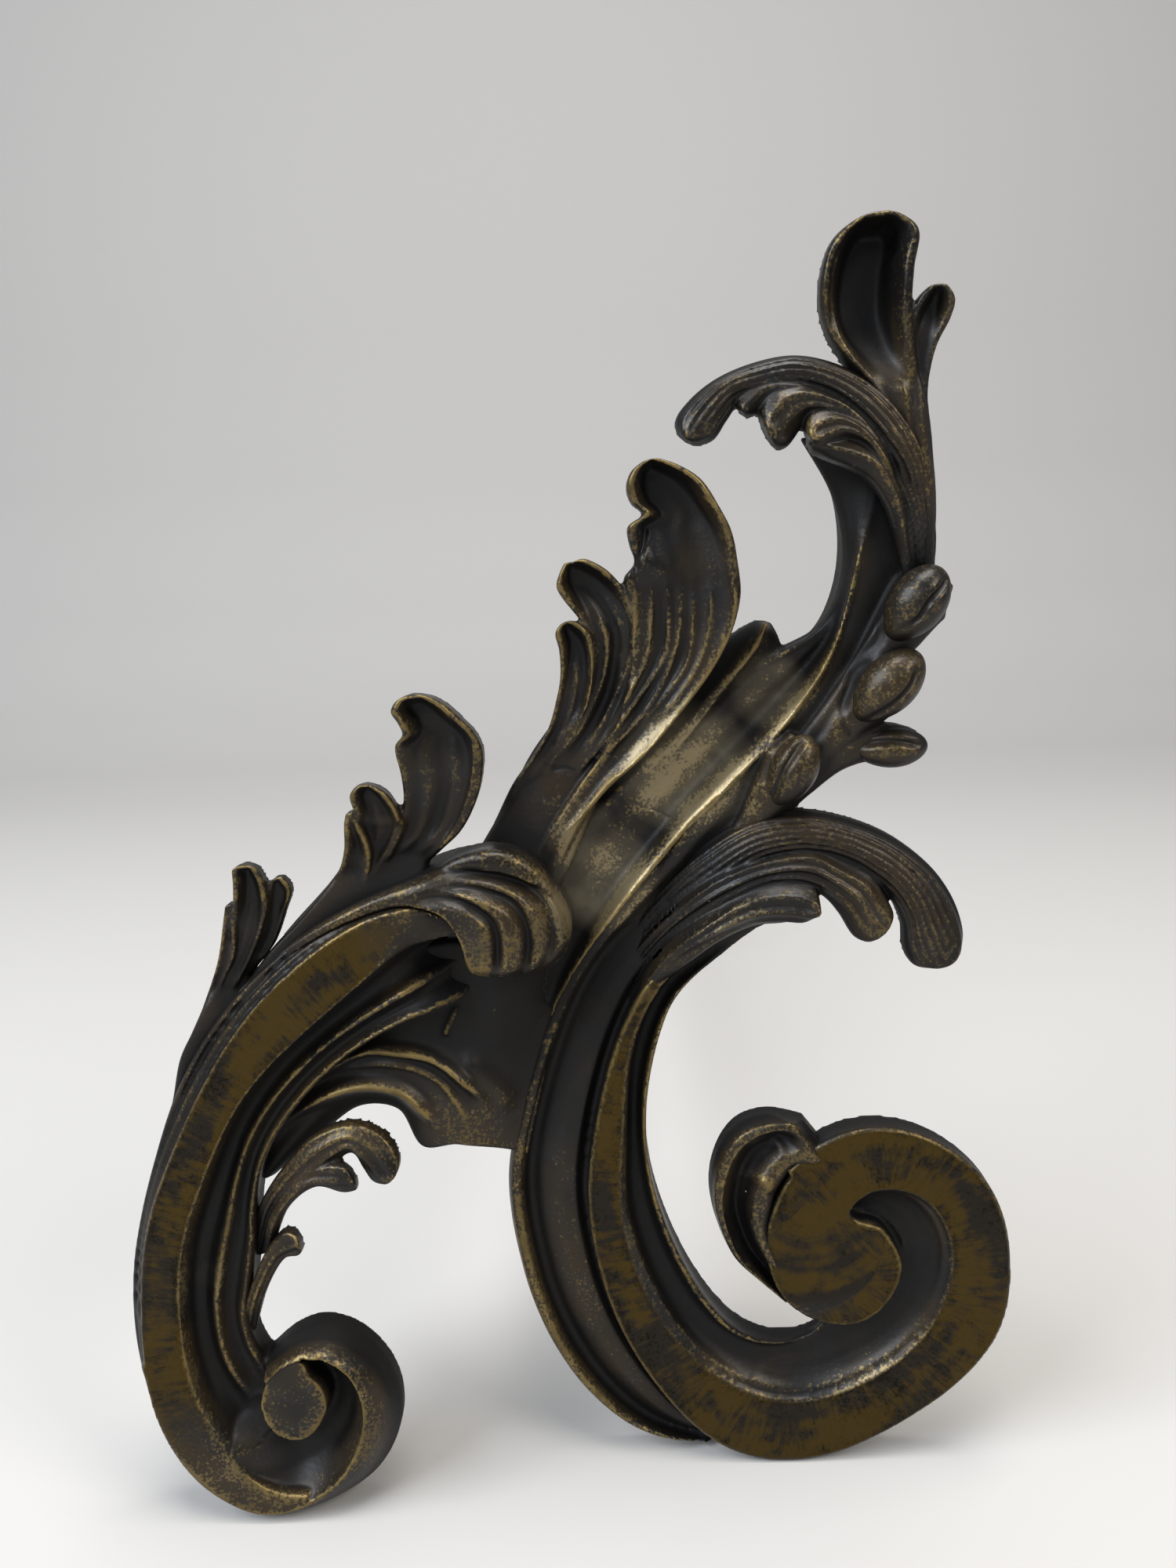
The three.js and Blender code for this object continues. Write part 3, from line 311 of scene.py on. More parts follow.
LEAF_ROOT = ([[-33, 113], [-27.5, 119], [-22.5, 126.5], [-18.5, 133], [-14, 141], [-9.5, 147]],
             [[-14, 106], [-11, 114], [-7, 122], [-3, 131], [0, 138], [1, 144]])
TALL_MAIN = ([[-20, 110], [-15, 122], [-6, 135.5], [-1, 142], [2.5, 150], [4, 157], [4.2, 163],
              [3.8, 168], [3.2, 171], [5, 173.5], [4.2, 176.5], [4, 179.3], [6.4, 181.2], [4.6, 183],
              [3.9, 185.5], [4.8, 188], [7, 189.7]],
             [[-11, 110], [-9, 122], [-2.5, 133], [6, 141], [13, 149], [18.5, 156.5], [21.5, 163],
              [22.5, 168], [22, 173], [21, 178], [19, 182], [16, 186.5], [12, 189], [9, 190]])
TALL_SECOND = ([[-18, 132], [-12, 140.5], [-7.5, 146], [-4, 151.5], [-2.5, 156.5], [-2.5, 161.5],
                [-4, 164], [-5.5, 166], [-7, 168], [-8, 170], [-7.5, 172], [-6.5, 174]],
               [[-11, 126], [-5.5, 137], [-0.5, 143.5], [3, 150], [4.5, 156], [5.5, 161.5], [4.5, 166],
                [3, 169.5], [1, 172], [-1, 173.5], [-3.5, 174.5], [-5, 174]])
TALL_THIRD = ([[-21, 129], [-17, 136.5], [-13.5, 141], [-10.5, 146], [-9, 150.5], [-8, 155],
               [-8, 159.5], [-8.5, 162.5], [-7.5, 164]],
              [[-12, 125], [-10.5, 138], [-6.5, 145], [-3.5, 150], [-2.5, 154.5], [-2, 159.5],
               [-2.5, 162], [-4.5, 164], [-6, 164.5]])
CROWN_MAIN = ([[52.5, 170], [51.5, 180], [50, 187.5], [47.5, 194], [43.5, 200], [39.5, 204.5],
               [36.8, 208.5], [35.5, 213], [35.8, 218], [37.5, 222.5], [42, 226]],
              [[56.5, 170], [56, 180], [55, 187.5], [54.2, 194], [53, 199], [51.5, 203.5], [50.8, 207.5],
               [50.3, 212], [50.5, 218], [51, 223.5], [47, 226.5]])
CROWN_SMALL = ([[50.5, 184], [50, 192], [49.5, 199.5], [49.5, 206], [50, 211], [51.3, 213.6],
                [53, 215.2]],
               [[55.5, 184], [54.5, 192], [53.5, 199.5], [54.5, 206], [56.6, 210.5], [57, 213],
                [55.5, 215.4]])
SIDE_FAN = ([[55.4, 170], [54.3, 180], [51.5, 187.5], [46.5, 194], [40, 198]],
            [[51.6, 167], [49.6, 175.5], [47.2, 182], [44.5, 186.5], [38, 190]])
SIDE_MAIN = ([[55.8, 172], [55.4, 180], [54, 187], [50.8, 194], [45.6, 200], [39, 203.8],
              [32, 205.5], [25.5, 204.7], [19, 202.3], [14.5, 199], [12.3, 196], [12.6, 193.2]],
             [[51, 172], [50.5, 180], [48.5, 186], [44.5, 191], [39.5, 196], [34.5, 199], [30, 199.8],
              [26, 199], [23, 198.5], [20.5, 195.5], [18.5, 192.8], [15.2, 191.6]])
SIDE_MIDDLE = ([[41, 199.5], [34, 201.5], [30.5, 202], [26, 202], [22.5, 199.5], [21.8, 197.5]],
               [[40, 196.5], [33.5, 198], [30.5, 198.5], [27.5, 198], [25.5, 196.5], [23.5, 195.6]])
SIDE_THIRD = ([[51, 177], [49.5, 184], [46, 191], [41.5, 196.5], [37, 199.5], [32, 201], [28, 200.5],
               [26, 198], [25.6, 194.5]],
              [[50, 176], [48, 183], [44.5, 189.5], [40.5, 194], [36, 195.5], [33.2, 195], [31.8, 193],
               [30, 191], [27.8, 190.6]])
SIDE_FOURTH = ([[51, 176], [49, 182.5], [46.5, 189], [42.5, 194], [38.5, 196.5], [35.5, 197],
                [33.3, 195.8], [32.5, 193]],
               [[50, 175], [48, 181], [45, 187], [42.5, 190.5], [39.5, 191.4], [37.5, 190.5],
                [36, 190], [34, 190.8]])
SIDE_FIFTH = ([[52.5, 168], [50.5, 177], [48, 185.5], [44.5, 190.5], [40.5, 192], [36.5, 192.5], [33, 192]],
              [[51, 167], [48.6, 175], [46.2, 181.5], [43.6, 185.3], [40.5, 187.2], [37, 188.6],
               [33.5, 190]])
DROOP_MAIN = ([[-5, 94], [1, 106], [8, 116], [16, 124], [24, 129], [32.5, 130], [39, 129], [46, 126.5],
               [51, 123.5], [56, 119], [59.5, 113.5], [61, 108], [60.5, 104.5]],
              [[-2.5, 90], [4, 101], [11.5, 109.5], [18.5, 115], [26, 120.5], [33.5, 122],
               [40.5, 120.5], [45, 117.5], [48.5, 114], [50.5, 109.5], [51, 104.5], [52.5, 102],
               [56.5, 101.5]])
DROOP_SECOND = ([[-3.5, 91.5], [3, 102.5], [10.5, 111.5], [18.5, 118.5], [27, 121.5], [34.5, 122.5],
                 [39.5, 120], [44, 117.5], [46.5, 113.5], [48, 110]],
                [[-1, 87.5], [5, 98.5], [11.5, 107.5], [20, 113.5], [27.5, 117], [33.5, 116.5],
                 [37, 114.5], [39.5, 111.5], [42, 107.5], [44.5, 106.5]])
DROOP_THIRD = ([[-2, 84], [2, 95], [9, 106], [16, 112.5], [24, 117.5], [31, 118.5], [35, 117], [36, 113.5]],
               [[0, 82], [5, 93], [10.5, 102.5], [16.5, 107], [23.5, 110], [29.5, 110.5], [33, 110.5],
                [35, 112]])
DROOP_UNDER = ([[-0.5, 87], [3, 97], [9, 104], [16, 109.5], [24, 113.5], [30, 114.5], [34, 114]],
               [[2.5, 85], [7, 95.5], [12, 101.5], [18, 106.3], [24.5, 109.3], [30, 109.8], [33.8, 110.6]])
SHOULDER_MAIN = ([[-47.5, 118], [-40.5, 125], [-36.5, 130], [-35, 135.5], [-35, 140], [-35.5, 145],
                  [-34, 147], [-34.5, 149], [-35.5, 151], [-34, 153.5]],
                 [[-35, 121], [-29, 126.5], [-25.5, 130], [-23, 134.5], [-21.5, 139], [-21, 144],
                  [-22, 147], [-24.5, 150], [-26.5, 152], [-30, 154]])
SHOULDER_SECOND = ([[-51.5, 117.5], [-46, 125], [-43.5, 130.5], [-43, 133.5], [-43.5, 137],
                    [-42, 139]],
                   [[-41, 119], [-37, 127], [-35, 131], [-35.5, 133.5], [-37, 137], [-39.5, 139]])
SHOULDER_THIRD = ([[-58.5, 111.5], [-50.5, 119.5], [-47, 123.5], [-45.5, 127.5], [-45, 132],
                   [-44.5, 134]],
                  [[-50, 110.5], [-44, 118], [-41.5, 123.5], [-41, 127.5], [-42, 131.5], [-43, 134.5]])
OUTER_WEB = ([[-81, 80], [-77.5, 90.5], [-75.3, 94.5], [-73.2, 98.5], [-71, 103], [-69, 108]],
             [[-76, 80], [-72, 88], [-68, 94], [-65.5, 97], [-64.5, 101.5], [-64.5, 106]])
SHOULDER_WEB = ([[-68, 99], [-60.5, 109], [-54.5, 115], [-49.5, 120.5], [-46.3, 124.5], [-43.5, 129]],
                [[-62, 98], [-52, 107], [-42, 114.5], [-35, 119], [-32, 123], [-33, 129]])
OUTER_MAIN = ([[-73.5, 95], [-70, 104.5], [-67.5, 109], [-66, 114], [-65, 118.5], [-64.5, 122.5],
               [-64.5, 125.5]],
              [[-69.5, 98], [-66, 104], [-63, 109], [-60.5, 114], [-59, 118], [-59, 122.5],
               [-60.5, 126]])
OUTER_RIGHT = ([[-66.5, 104], [-63, 109], [-60.5, 114], [-59.5, 119], [-58.5, 122.5]],
               [[-64, 105], [-59.5, 110.5], [-56.5, 117], [-55, 121], [-56.5, 123.5]])
OUTER_LEFT = ([[-76, 93], [-71.5, 102.5], [-69, 108.5], [-67.5, 114], [-66.5, 118.5]],
              [[-71.5, 97], [-69, 103.5], [-66, 109], [-65, 114], [-65, 119]])
INNER_MAIN = ([[-69.5, 50], [-66, 61.5], [-60, 70], [-55, 75], [-48.5, 77.5], [-43.5, 76.5],
               [-40.5, 73.5], [-39, 70]],
              [[-66, 51], [-61, 61.5], [-57, 66], [-52.5, 69], [-48, 72], [-46, 69], [-44.5, 67],
               [-41.5, 66.5]])
INNER_SECOND = ([[-67, 51], [-63, 61.5], [-57, 68.5], [-52, 70.5], [-48.5, 70.5]],
                [[-64.5, 52], [-60, 62], [-54.5, 66], [-49.5, 65], [-46.5, 66]])
SPRIG = ([[-72, 35], [-68.6, 46], [-64.2, 54.5], [-60.8, 57.6], [-58.6, 57.2]],
         [[-69, 36], [-65.6, 45.5], [-61.4, 52], [-58.8, 52.8], [-57.8, 54.6]])
ARCH = ([[-72, 66], [-66, 80], [-55, 95], [-42, 105], [-30, 109], [-20, 107], [-9, 101]],
        [[-64, 65], [-54, 73.5], [-47, 78], [-40.5, 77], [-36.5, 69.5], [-30, 69.5], [-18, 64]])
KNUCKLE = ([[-66, 103], [-56, 111.5], [-46, 117.2], [-36, 121.5], [-26, 124.6], [-18, 124],
            [-12.5, 121], [-8.7, 116], [-7.6, 110.5], [-10, 104.8], [-15, 102.2]],
           [[-66, 101.5], [-56, 109], [-46, 114.8], [-37, 117.6], [-32, 117.4], [-28.8, 116],
            [-26.8, 113], [-25.8, 110], [-25.3, 107.2], [-23.4, 104.6], [-19.5, 102.6]])
VOLUTE_LEAF = ([[34, 70.5], [30.5, 71.5], [27, 72], [22, 70.5], [18.8, 67], [16.7, 61.5], [16.3, 56],
                [17.5, 50.5], [20, 44.5], [24.5, 39.5], [29.5, 34.5]],
               [[37, 66.5], [34, 65.5], [31, 64], [29, 61.5], [27, 58], [26, 54.5], [25.2, 51],
                [25.5, 47.5], [26.7, 43.5], [29, 38.5], [33, 33.5]])


# ---- Materials --------------------------------------------------------------------------

class Field:
    """One socket of a finish, with the arithmetic that shader maths needs."""

    def __init__(self, finish, socket):
        self.finish = finish
        self.socket = socket

    def _math(self, operation, first, second):
        return self.finish.node("ShaderNodeMath", {"operation": operation}, [first, second]).field(0)

    def __add__(self, other):
        return self._math("ADD", self, other)

    def __radd__(self, other):
        return self._math("ADD", other, self)

    def __sub__(self, other):
        return self._math("SUBTRACT", self, other)

    def __rsub__(self, other):
        return self._math("SUBTRACT", other, self)

    def __mul__(self, other):
        return self._math("MULTIPLY", self, other)

    def __rmul__(self, other):
        return self._math("MULTIPLY", other, self)

    def most(self, other):
        return self._math("MAXIMUM", self, other)

    def least(self, other):
        return self._math("MINIMUM", self, other)

    def step(self, low, high):
        """0 below low, 1 above high, and smooth between."""
        made = self.finish.node("ShaderNodeMapRange", {"interpolation_type": "SMOOTHSTEP"},
                                {"Value": self, "From Min": low, "From Max": high})
        return made.field("Result")


class Made:
    """A node just made, whose outputs are fields."""

    def __init__(self, finish, node):
        self.finish = finish
        self.node = node

    def field(self, output):
        return Field(self.finish, self.node.outputs[output])


class Finish:
    """One material and its nodes."""

    def __init__(self, name):
        self.material = bpy.data.materials.new(name)
        self.material.use_nodes = True
        self.tree = self.material.node_tree
        self.tree.nodes.clear()
        self.place = self.node("ShaderNodeTexCoord").field("Object")

    def node(self, kind, settings=None, inputs=None):
        made = self.tree.nodes.new(kind)
        for key, value in (settings or {}).items():
            setattr(made, key, value)
        pairs = inputs.items() if isinstance(inputs, dict) else enumerate(inputs or [])
        for key, value in pairs:
            socket = made.inputs[key]
            if isinstance(value, Field):
                self.tree.links.new(value.socket, socket)
            elif isinstance(value, tuple) and socket.type == "RGBA":
                socket.default_value = (*value, 1.0)
            else:
                socket.default_value = value
        return Made(self, made)

    def noise(self, size, detail=3.0, rough=0.55):
        """Noise with a grain of about size millimetres, from 0 to 1."""
        made = self.node("ShaderNodeTexNoise", {}, {
            "Vector": self.place, "Scale": 1.0 / (size * MM), "Detail": detail, "Roughness": rough})
        return made.field("Fac")

    def attribute(self, name):
        return self.node("ShaderNodeAttribute", {"attribute_name": name}).field("Fac")

    def mix(self, share, first, second):
        made = self.node("ShaderNodeMix", {"data_type": "RGBA"}, {0: share, 6: first, 7: second})
        return made.field(2)

    def surface(self, constants, **varying):
        shader = self.node("ShaderNodeBsdfPrincipled", {}, {**constants, **varying})
        self.node("ShaderNodeOutputMaterial", {}, {"Surface": shader.field("BSDF")})
        return self.material


PATINA_BLACK, PATINA_BROWN = (0.0075, 0.0068, 0.0058), (0.022, 0.0145, 0.0080)
BLUE_PATINA_AND_SHEEN, SOOT_AND_SHADE, PAINTED_SHEEN_COLOUR = (0.015, 0.018, 0.024), (0.0032, 0.0031, 0.0032), (0.150, 0.128, 0.086)
BAND_GOLD, BAND_STAIN = (0.053, 0.0335, 0.0070), (0.0100, 0.0070, 0.0036)
GOLD_BRIGHT, GOLD_DULL, RUBBED_GOLD_AND_SHEEN = (0.27, 0.195, 0.078), (0.125, 0.090, 0.035), (0.36, 0.29, 0.165)
DUST = (0.55, 0.54, 0.50)
DUST_SPACING = 6.5
IRON_DARK, IRON_PALE, IRON_BLOOM = (0.020, 0.020, 0.022), (0.042, 0.040, 0.040), (0.062, 0.032, 0.018)
PALE_FLOOR = (0.46, 0.45, 0.435)


def bronze_finish(name, rubbed):
    """Dark patinated bronze. Gold metal shows on worn edges, ribs and the filed bands.

    rubbed is how far the scuffs and the painted sheen on the handled spots show, from 0 to 1.
    """
    f = Finish(name)
    worn = f.attribute("worn")
    hollow = f.attribute("hollow")
    flat = f.attribute("flat")
    run = f.attribute("run")
    side = f.attribute("side")

    cloud = f.noise(22.0, 3.0)
    patch = f.noise(6.0, 5.0, 0.6)
    grain = f.noise(1.1, 4.0, 0.65)
    speck = f.noise(0.55, 2.0, 0.5)

    handled_and_sheen = f.attribute("handled_and_sheen")
    # Painted sheen: a pale olive-grey haze over the patina on the handled spots stands in for light
    # reflected off the front faces.
    painted_sheen = ((handled_and_sheen * 0.8 - 0.35).most(0.0).least(0.62) * (0.55 + patch.step(0.35, 0.65) * 0.45)
            * (1 - worn).least(1.0) * rubbed)
    brown = f.mix(cloud.step(0.35, 0.65), PATINA_BLACK, PATINA_BROWN)
    # Blue-grey patches: partly patina tone, partly a painted bluish sheen of reflected skylight.
    patina = f.mix(patch.step(0.42, 0.72) * 0.5, brown, BLUE_PATINA_AND_SHEEN)
    # Near black where hollow is high: dark patina in the recesses, and painted shade on undersides, in deep
    # hollows and under the knuckle leaf.
    patina = f.mix(hollow.step(0.0, 0.8) * 0.85, patina, SOOT_AND_SHADE)
    patina = f.mix(painted_sheen, patina, PAINTED_SHEEN_COLOUR)

    # Metal rubbed through on what stands proud, broken up by the grain.
    edge = (worn * 1.1 + (grain - 0.5) * 1.6 + (patch - 0.5) * 1.3 + (cloud - 0.5)).step(0.5, 1.0)
    scuffed = (speck * 0.8 + grain * 0.7 + patch * 0.9 + cloud * 0.6 + worn * 0.45 - hollow * 0.6
               + handled_and_sheen * 0.34).step(1.56, 1.88)
    veil = cloud.step(0.3, 0.62) * (1 - hollow * 1.6).most(0.0) * 0.05
    rub = (edge + (scuffed * 0.7 + veil) * rubbed).least(1.0)

    # The filed bands: olive gold under brown, with dark marks across the band.
    lines = f.node("ShaderNodeCombineXYZ", {}, {"X": run * 0.9, "Y": side * 0.16, "Z": 0.0}).field(0)
    marks = f.node("ShaderNodeTexNoise", {}, {"Vector": lines, "Scale": 1.0, "Detail": 4.0,
                                             "Roughness": 0.65}).field("Fac")
    region = f.node("ShaderNodeCombineXYZ", {}, {"X": run * 0.04, "Y": side * 0.12, "Z": 7.0}).field(0)
    where = f.node("ShaderNodeTexNoise", {}, {"Vector": region, "Scale": 1.0, "Detail": 2.0}).field("Fac")
    stained = ((marks - 0.5) * 1.4 + (where - 0.5) * 2.4 + (patch - 0.5) * 1.6 + 0.6).step(0.36, 0.84)
    band = f.mix(stained, BAND_GOLD, BAND_STAIN)

    gold = f.mix(patch.step(0.3, 0.7), GOLD_BRIGHT, GOLD_DULL)
    # On the handled spots the rubbed gold turns paler and greyer: rubbed metal, lightened further as a
    # painted sheen.
    gold = f.mix((scuffed - edge).most(0.0) * handled_and_sheen.least(1.0) * 0.8, gold, RUBBED_GOLD_AND_SHEEN)
    colour = f.mix(rub * 0.8, patina, gold)
    colour = f.mix(flat * (1 - edge * 0.5), colour, band)

    # Specks of dust.
    dust_cells = f.node("ShaderNodeTexVoronoi", {"feature": "F1"},
                        {"Vector": f.place, "Scale": 1.0 / (DUST_SPACING * MM)})
    dot = 1 - dust_cells.field("Distance").step(0.016, 0.030)
    chosen = f.node("ShaderNodeSeparateColor", {}, [dust_cells.field("Color")]).field(0).step(0.76, 0.78)
    dust = dot * chosen
    colour = f.mix(dust * 0.8, colour, DUST)

    metal = ((0.25 + rub * 0.55 + flat * 0.5 * (1 - stained * 0.6)).least(1.0) * (1 - dust)).least(0.9)
    gloss = (0.33 + (grain - 0.5) * 0.22 + hollow * 0.2 + edge * 0.13 + flat * 0.14
             + (cloud - 0.5) * 0.18).most(0.2)
    relief = grain * 0.5 + patch * 0.6 + speck * 0.25
    pitted = f.node("ShaderNodeBump", {}, {"Strength": 0.3, "Distance": 0.22 * MM, "Height": relief})
    return f.surface({"IOR": 1.5, "Specular IOR Level": 0.3},
                     **{"Base Color": colour, "Metallic": metal, "Roughness": gloss,
                        "Normal": pitted.field("Normal")})


def iron_finish(name):
    """Forged iron, matt and nearly black, with a brown bloom."""
    f = Finish(name)
    scale = f.noise(3.0, 5.0, 0.6)
    bloom = f.noise(14.0, 4.0)
    hammered = f.noise(6.5, 1.0, 0.3)
    grain = f.noise(0.7, 3.0)
    colour = f.mix(scale.step(0.4, 0.7), IRON_DARK, IRON_PALE)
    colour = f.mix(bloom.step(0.52, 0.75) * 0.7, colour, IRON_BLOOM)
    relief = f.node("ShaderNodeBump", {}, {"Strength": 0.6, "Distance": 0.5 * MM,
                                          "Height": hammered * 1.2 + scale * 0.5 + grain * 0.2})
    return f.surface({"IOR": 1.5}, **{"Base Color": colour, "Metallic": 0.35 + scale * 0.2,
                                      "Roughness": 0.5 + (grain - 0.5) * 0.3 + bloom * 0.12,
                                      "Normal": relief.field("Normal")})


FINISHES = {"bronze": bronze_finish("bronze", 1.0), "bronze_worn": bronze_finish("bronze_worn", 0.75)}
IRON = iron_finish("iron")


# ---- Casting: from rough bodies to one surface with its wear and painted shade ------------

def neighbour_mean(values, edges, degree):
    """The mean of what each corner's neighbours hold."""
    first, second = edges[:, 0], edges[:, 1]
    count = len(degree)
    columns = [np.bincount(first, values[second, k], count) + np.bincount(second, values[first, k], count)
               for k in range(values.shape[1])]
    return np.stack(columns, 1) / degree[:, None]


def relaxed(co, edges, degree, rounds, strength=0.5, keep=0.0):
    """Evens a surface out. keep near 1 gives back the volume that this takes away."""
    for _ in range(rounds):
        co = co + strength * (neighbour_mean(co, edges, degree) - co)
        if keep:
            co = co - keep * strength * (neighbour_mean(co, edges, degree) - co)
    return co


def to_line(xz, points, samples=160):
    """Distance from each point to a curve, the t of the curve there, and the side."""
    line = along(points, np.linspace(0, 1, samples + 1))
    a, d = line[:-1], np.diff(line, axis=0)
    square = (d ** 2).sum(1) + 1e-12
    best = np.full(len(xz), 1e9)
    share = np.zeros(len(xz))
    side = np.zeros(len(xz))
    for k in range(len(d)):
        r = xz - a[k]
        s = np.clip((r @ d[k]) / square[k], 0, 1)
        gap = np.hypot(*(r - s[:, None] * d[k]).T)
        near = gap < best
        best[near] = gap[near]
        share[near] = (k + s[near]) / len(d)
        side[near] = np.sign(d[k][0] * r[near, 1] - d[k][1] * r[near, 0])
    return best, share, side


LINE_SAMPLES = 100
LINE_START, LINE_END = 0.25, 0.2  # parts of a line over which it rises and fades out


def carve(co, normal, lines):
    """Raises ridges and cuts grooves: each line is (kind, curve, width, height)."""
    rise = np.zeros(len(co))
    front = ease(-normal[:, 1], 0.0, 0.5)
    for kind, curve, width, height in lines:
        p = np.asarray(curve, float)
        reach = width * 3
        inside = np.flatnonzero(
            (co[:, 0] > p[:, 0].min() - reach) & (co[:, 0] < p[:, 0].max() + reach)
            & (co[:, 2] > p[:, 1].min() - reach) & (co[:, 2] < p[:, 1].max() + reach))
        gap, share, _ = to_line(co[inside][:, [0, 2]], p, LINE_SAMPLES)
        ends = ease(share, 0, LINE_START) * ease(1 - share, 0, LINE_END)
        if kind == "crest":
            shape = np.exp(-gap / (0.5 * width))
        else:
            shape = np.exp(-(gap / (0.5 * width)) ** 2) * (-1 if kind == "groove" else 1)
        rise[inside] += shape * ends * height
    co[:, 1] -= rise * front
    return co


BAND_SAMPLES = 240
BAND_SKIN = 0.6  # how far a band's face may lie from its depth, in millimetres
BAND_FACING, BAND_SQUARE = 0.8, 0.97  # how squarely a face looks forward: just enough, and in full
BAND_REACH, BAND_STOP = 12, 16  # millimetres past its edges where the filed look starts and ends fading
FINE_REACH, BROAD_REACH = 3, 12  # rounds of evening out times the size of a cell, in millimetres
cast_pieces = []


def without_crumbs(mesh):
    """Deletes the crumbs that a voxel remesh leaves beside the body."""
    count = len(mesh.vertices)
    edges = np.empty(len(mesh.edges) * 2, np.int64)
    mesh.edges.foreach_get("vertices", edges)
    first, second = edges.reshape(-1, 2).T
    label = np.arange(count)
    while True:
        lower = label.copy()
        least = np.minimum(label[first], label[second])
        np.minimum.at(lower, first, least)
        np.minimum.at(lower, second, least)
        lower = lower[lower]
        if (lower == label).all():
            break
        label = lower
    sizes = np.bincount(label, minlength=count)
    crumbs = np.flatnonzero(sizes[label] < sizes.max())
    if len(crumbs):
        bm = bmesh.new()
        bm.from_mesh(mesh)
        bm.verts.ensure_lookup_table()
        bmesh.ops.delete(bm, geom=[bm.verts[i] for i in crumbs], context="VERTS")
        bm.to_mesh(mesh)
        bm.free()


def casting(name, bm, slot, voxel, rounds, lines=(), bands=(), gold=1.0):
    """Turns the rough bodies in bm into the surface of the node called name.

    voxel is the size of the remesh's cells, in millimetres, and rounds how often the surface is
    evened out after it. lines are for carve. bands are flat filed faces: (left edge, right edge,
    depth, and the part of t over which the band fades out at its end). gold scales the worn metal.
    """
    bmesh.ops.recalc_face_normals(bm, faces=bm.faces)
    rough = bpy.data.meshes.new(name + "_rough")
    bm.to_mesh(rough)
    bm.free()
    piece = bpy.data.objects.new(name + "_cast", rough)
    bpy.context.scene.collection.objects.link(piece)
    merge = piece.modifiers.new("cast", "REMESH")
    merge.mode = "VOXEL"
    merge.voxel_size = voxel
    cast = bpy.data.meshes.new_from_object(piece.evaluated_get(bpy.context.evaluated_depsgraph_get()))
    piece.modifiers.clear()
    piece.data = cast
    bpy.data.meshes.remove(rough)
    without_crumbs(cast)

    count = len(cast.vertices)
    co = np.empty(count * 3)
    cast.vertices.foreach_get("co", co)
    co = co.reshape(-1, 3)
    edges = np.empty(len(cast.edges) * 2, np.int64)
    cast.edges.foreach_get("vertices", edges)
    edges = edges.reshape(-1, 2)
    degree = np.bincount(edges.ravel(), minlength=count).astype(float)

    def normals():
        cast.vertices.foreach_set("co", co.ravel())
        cast.update()
        n = np.empty(count * 3)
        cast.vertex_normals.foreach_get("vector", n)
        return n.reshape(-1, 3)

    co = relaxed(co, edges, degree, rounds, keep=0.6)
    if lines:
        co = carve(co, normals(), lines)
        co = relaxed(co, edges, degree, 1, strength=0.4)
    co[:, 1] = np.maximum(co[:, 1], FOREMOST)
    co[:, 2] = np.maximum(co[:, 2], GROUND)
    normal = normals()

    fine = relaxed(co, edges, degree, int(FINE_REACH / voxel))
    broad = relaxed(fine, edges, degree, int(BROAD_REACH / voxel))
    proud_fine = ((co - fine) * normal).sum(1)
    proud_broad = ((co - broad) * normal).sum(1)

    flat = np.zeros(count)
    run = np.zeros(count)
    side = np.zeros(count)
    shares = np.linspace(0, 1, BAND_SAMPLES + 1)
    for left, right, level, tail in bands:
        line = (along(left, shares) + along(right, shares)) / 2
        length = np.concatenate([[0], np.cumsum(np.linalg.norm(np.diff(line, axis=0), axis=1))])
        near = np.flatnonzero((np.abs(co[:, 1] - level) < BAND_SKIN) & (-normal[:, 1] > BAND_FACING))
        gap, share, which = to_line(co[near][:, [0, 2]], line, BAND_SAMPLES)
        half = np.linalg.norm(along(left, share) - along(right, share), axis=1) / 2
        flat[near] = (ease(-normal[near, 1], BAND_FACING, BAND_SQUARE)
                      * (1 - ease(gap, half + BAND_REACH, half + BAND_STOP)))
        if tail:
            flat[near] *= 1 - ease(share, 1 - tail, 1)
        run[near] = np.interp(share, shares, length)
        side[near] = gap * which
    cast.vertices.foreach_set("co", (co * MM + DRAWING_ORIGIN).ravel())
    cast.update()
    cast.polygons.foreach_set("use_smooth", np.ones(len(cast.polygons), bool))
    cast.materials.clear()
    cast.materials.append(FINISHES[slot])
    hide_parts(name)
    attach(piece, "root")
    cast_pieces.append((cast, co, normal, proud_fine, proud_broad, flat, run, side, gold))


# Spots rubbed bright, which also carry a painted sheen of reflected light: x, z, radius, strength.
HANDLED_AND_SHEEN_SPOTS = [(13, 138, 14, 1.6), (-2, 118, 12, 1.4), (28, 151, 9, 1.0), (-77, 12, 8, 0.25),
           (-24, 78, 5, 0.3), (22, 109, 8, 0.6), (-5, 128, 8, 0.8), (45, 17, 12, 0.4), (-76, 48, 6, 0.5),
           (30, 192, 8, 0.4), (5, 160, 10, 0.5)]
# Painted shadow deep under the knuckle leaf, where its overhang shades the web: x, z, radius, strength.
PAINTED_SHADOW_SPOTS = [(-20, 99, 15, 1.2), (-9, 97, 13, 0.8), (-14, 86, 12, 0.5), (-28, 94, 10, 0.8)]
PAINTED_SHADOW_DEPTH = -8.0  # these spots fade in at about this depth
# A map of how near the front comes to the viewer, in square cells from its lower left corner.
MAP_CELL = 0.8
MAP_CORNER = np.array([-100.0, -5.0])
MAP_SIZE = (240, 300)
MAP_SPREADS = (2, 5, 10)  # how many cells each way count as near, far and wide
NOTHING_THERE = 99.0


def spread(values, cells):
    """Box blur, three times, along both axes."""
    kernel = np.ones(2 * cells + 1)
    for _ in range(3):
        for axis in (0, 1):
            values = np.apply_along_axis(lambda row: np.convolve(row, kernel, "same"), axis, values)
    return values


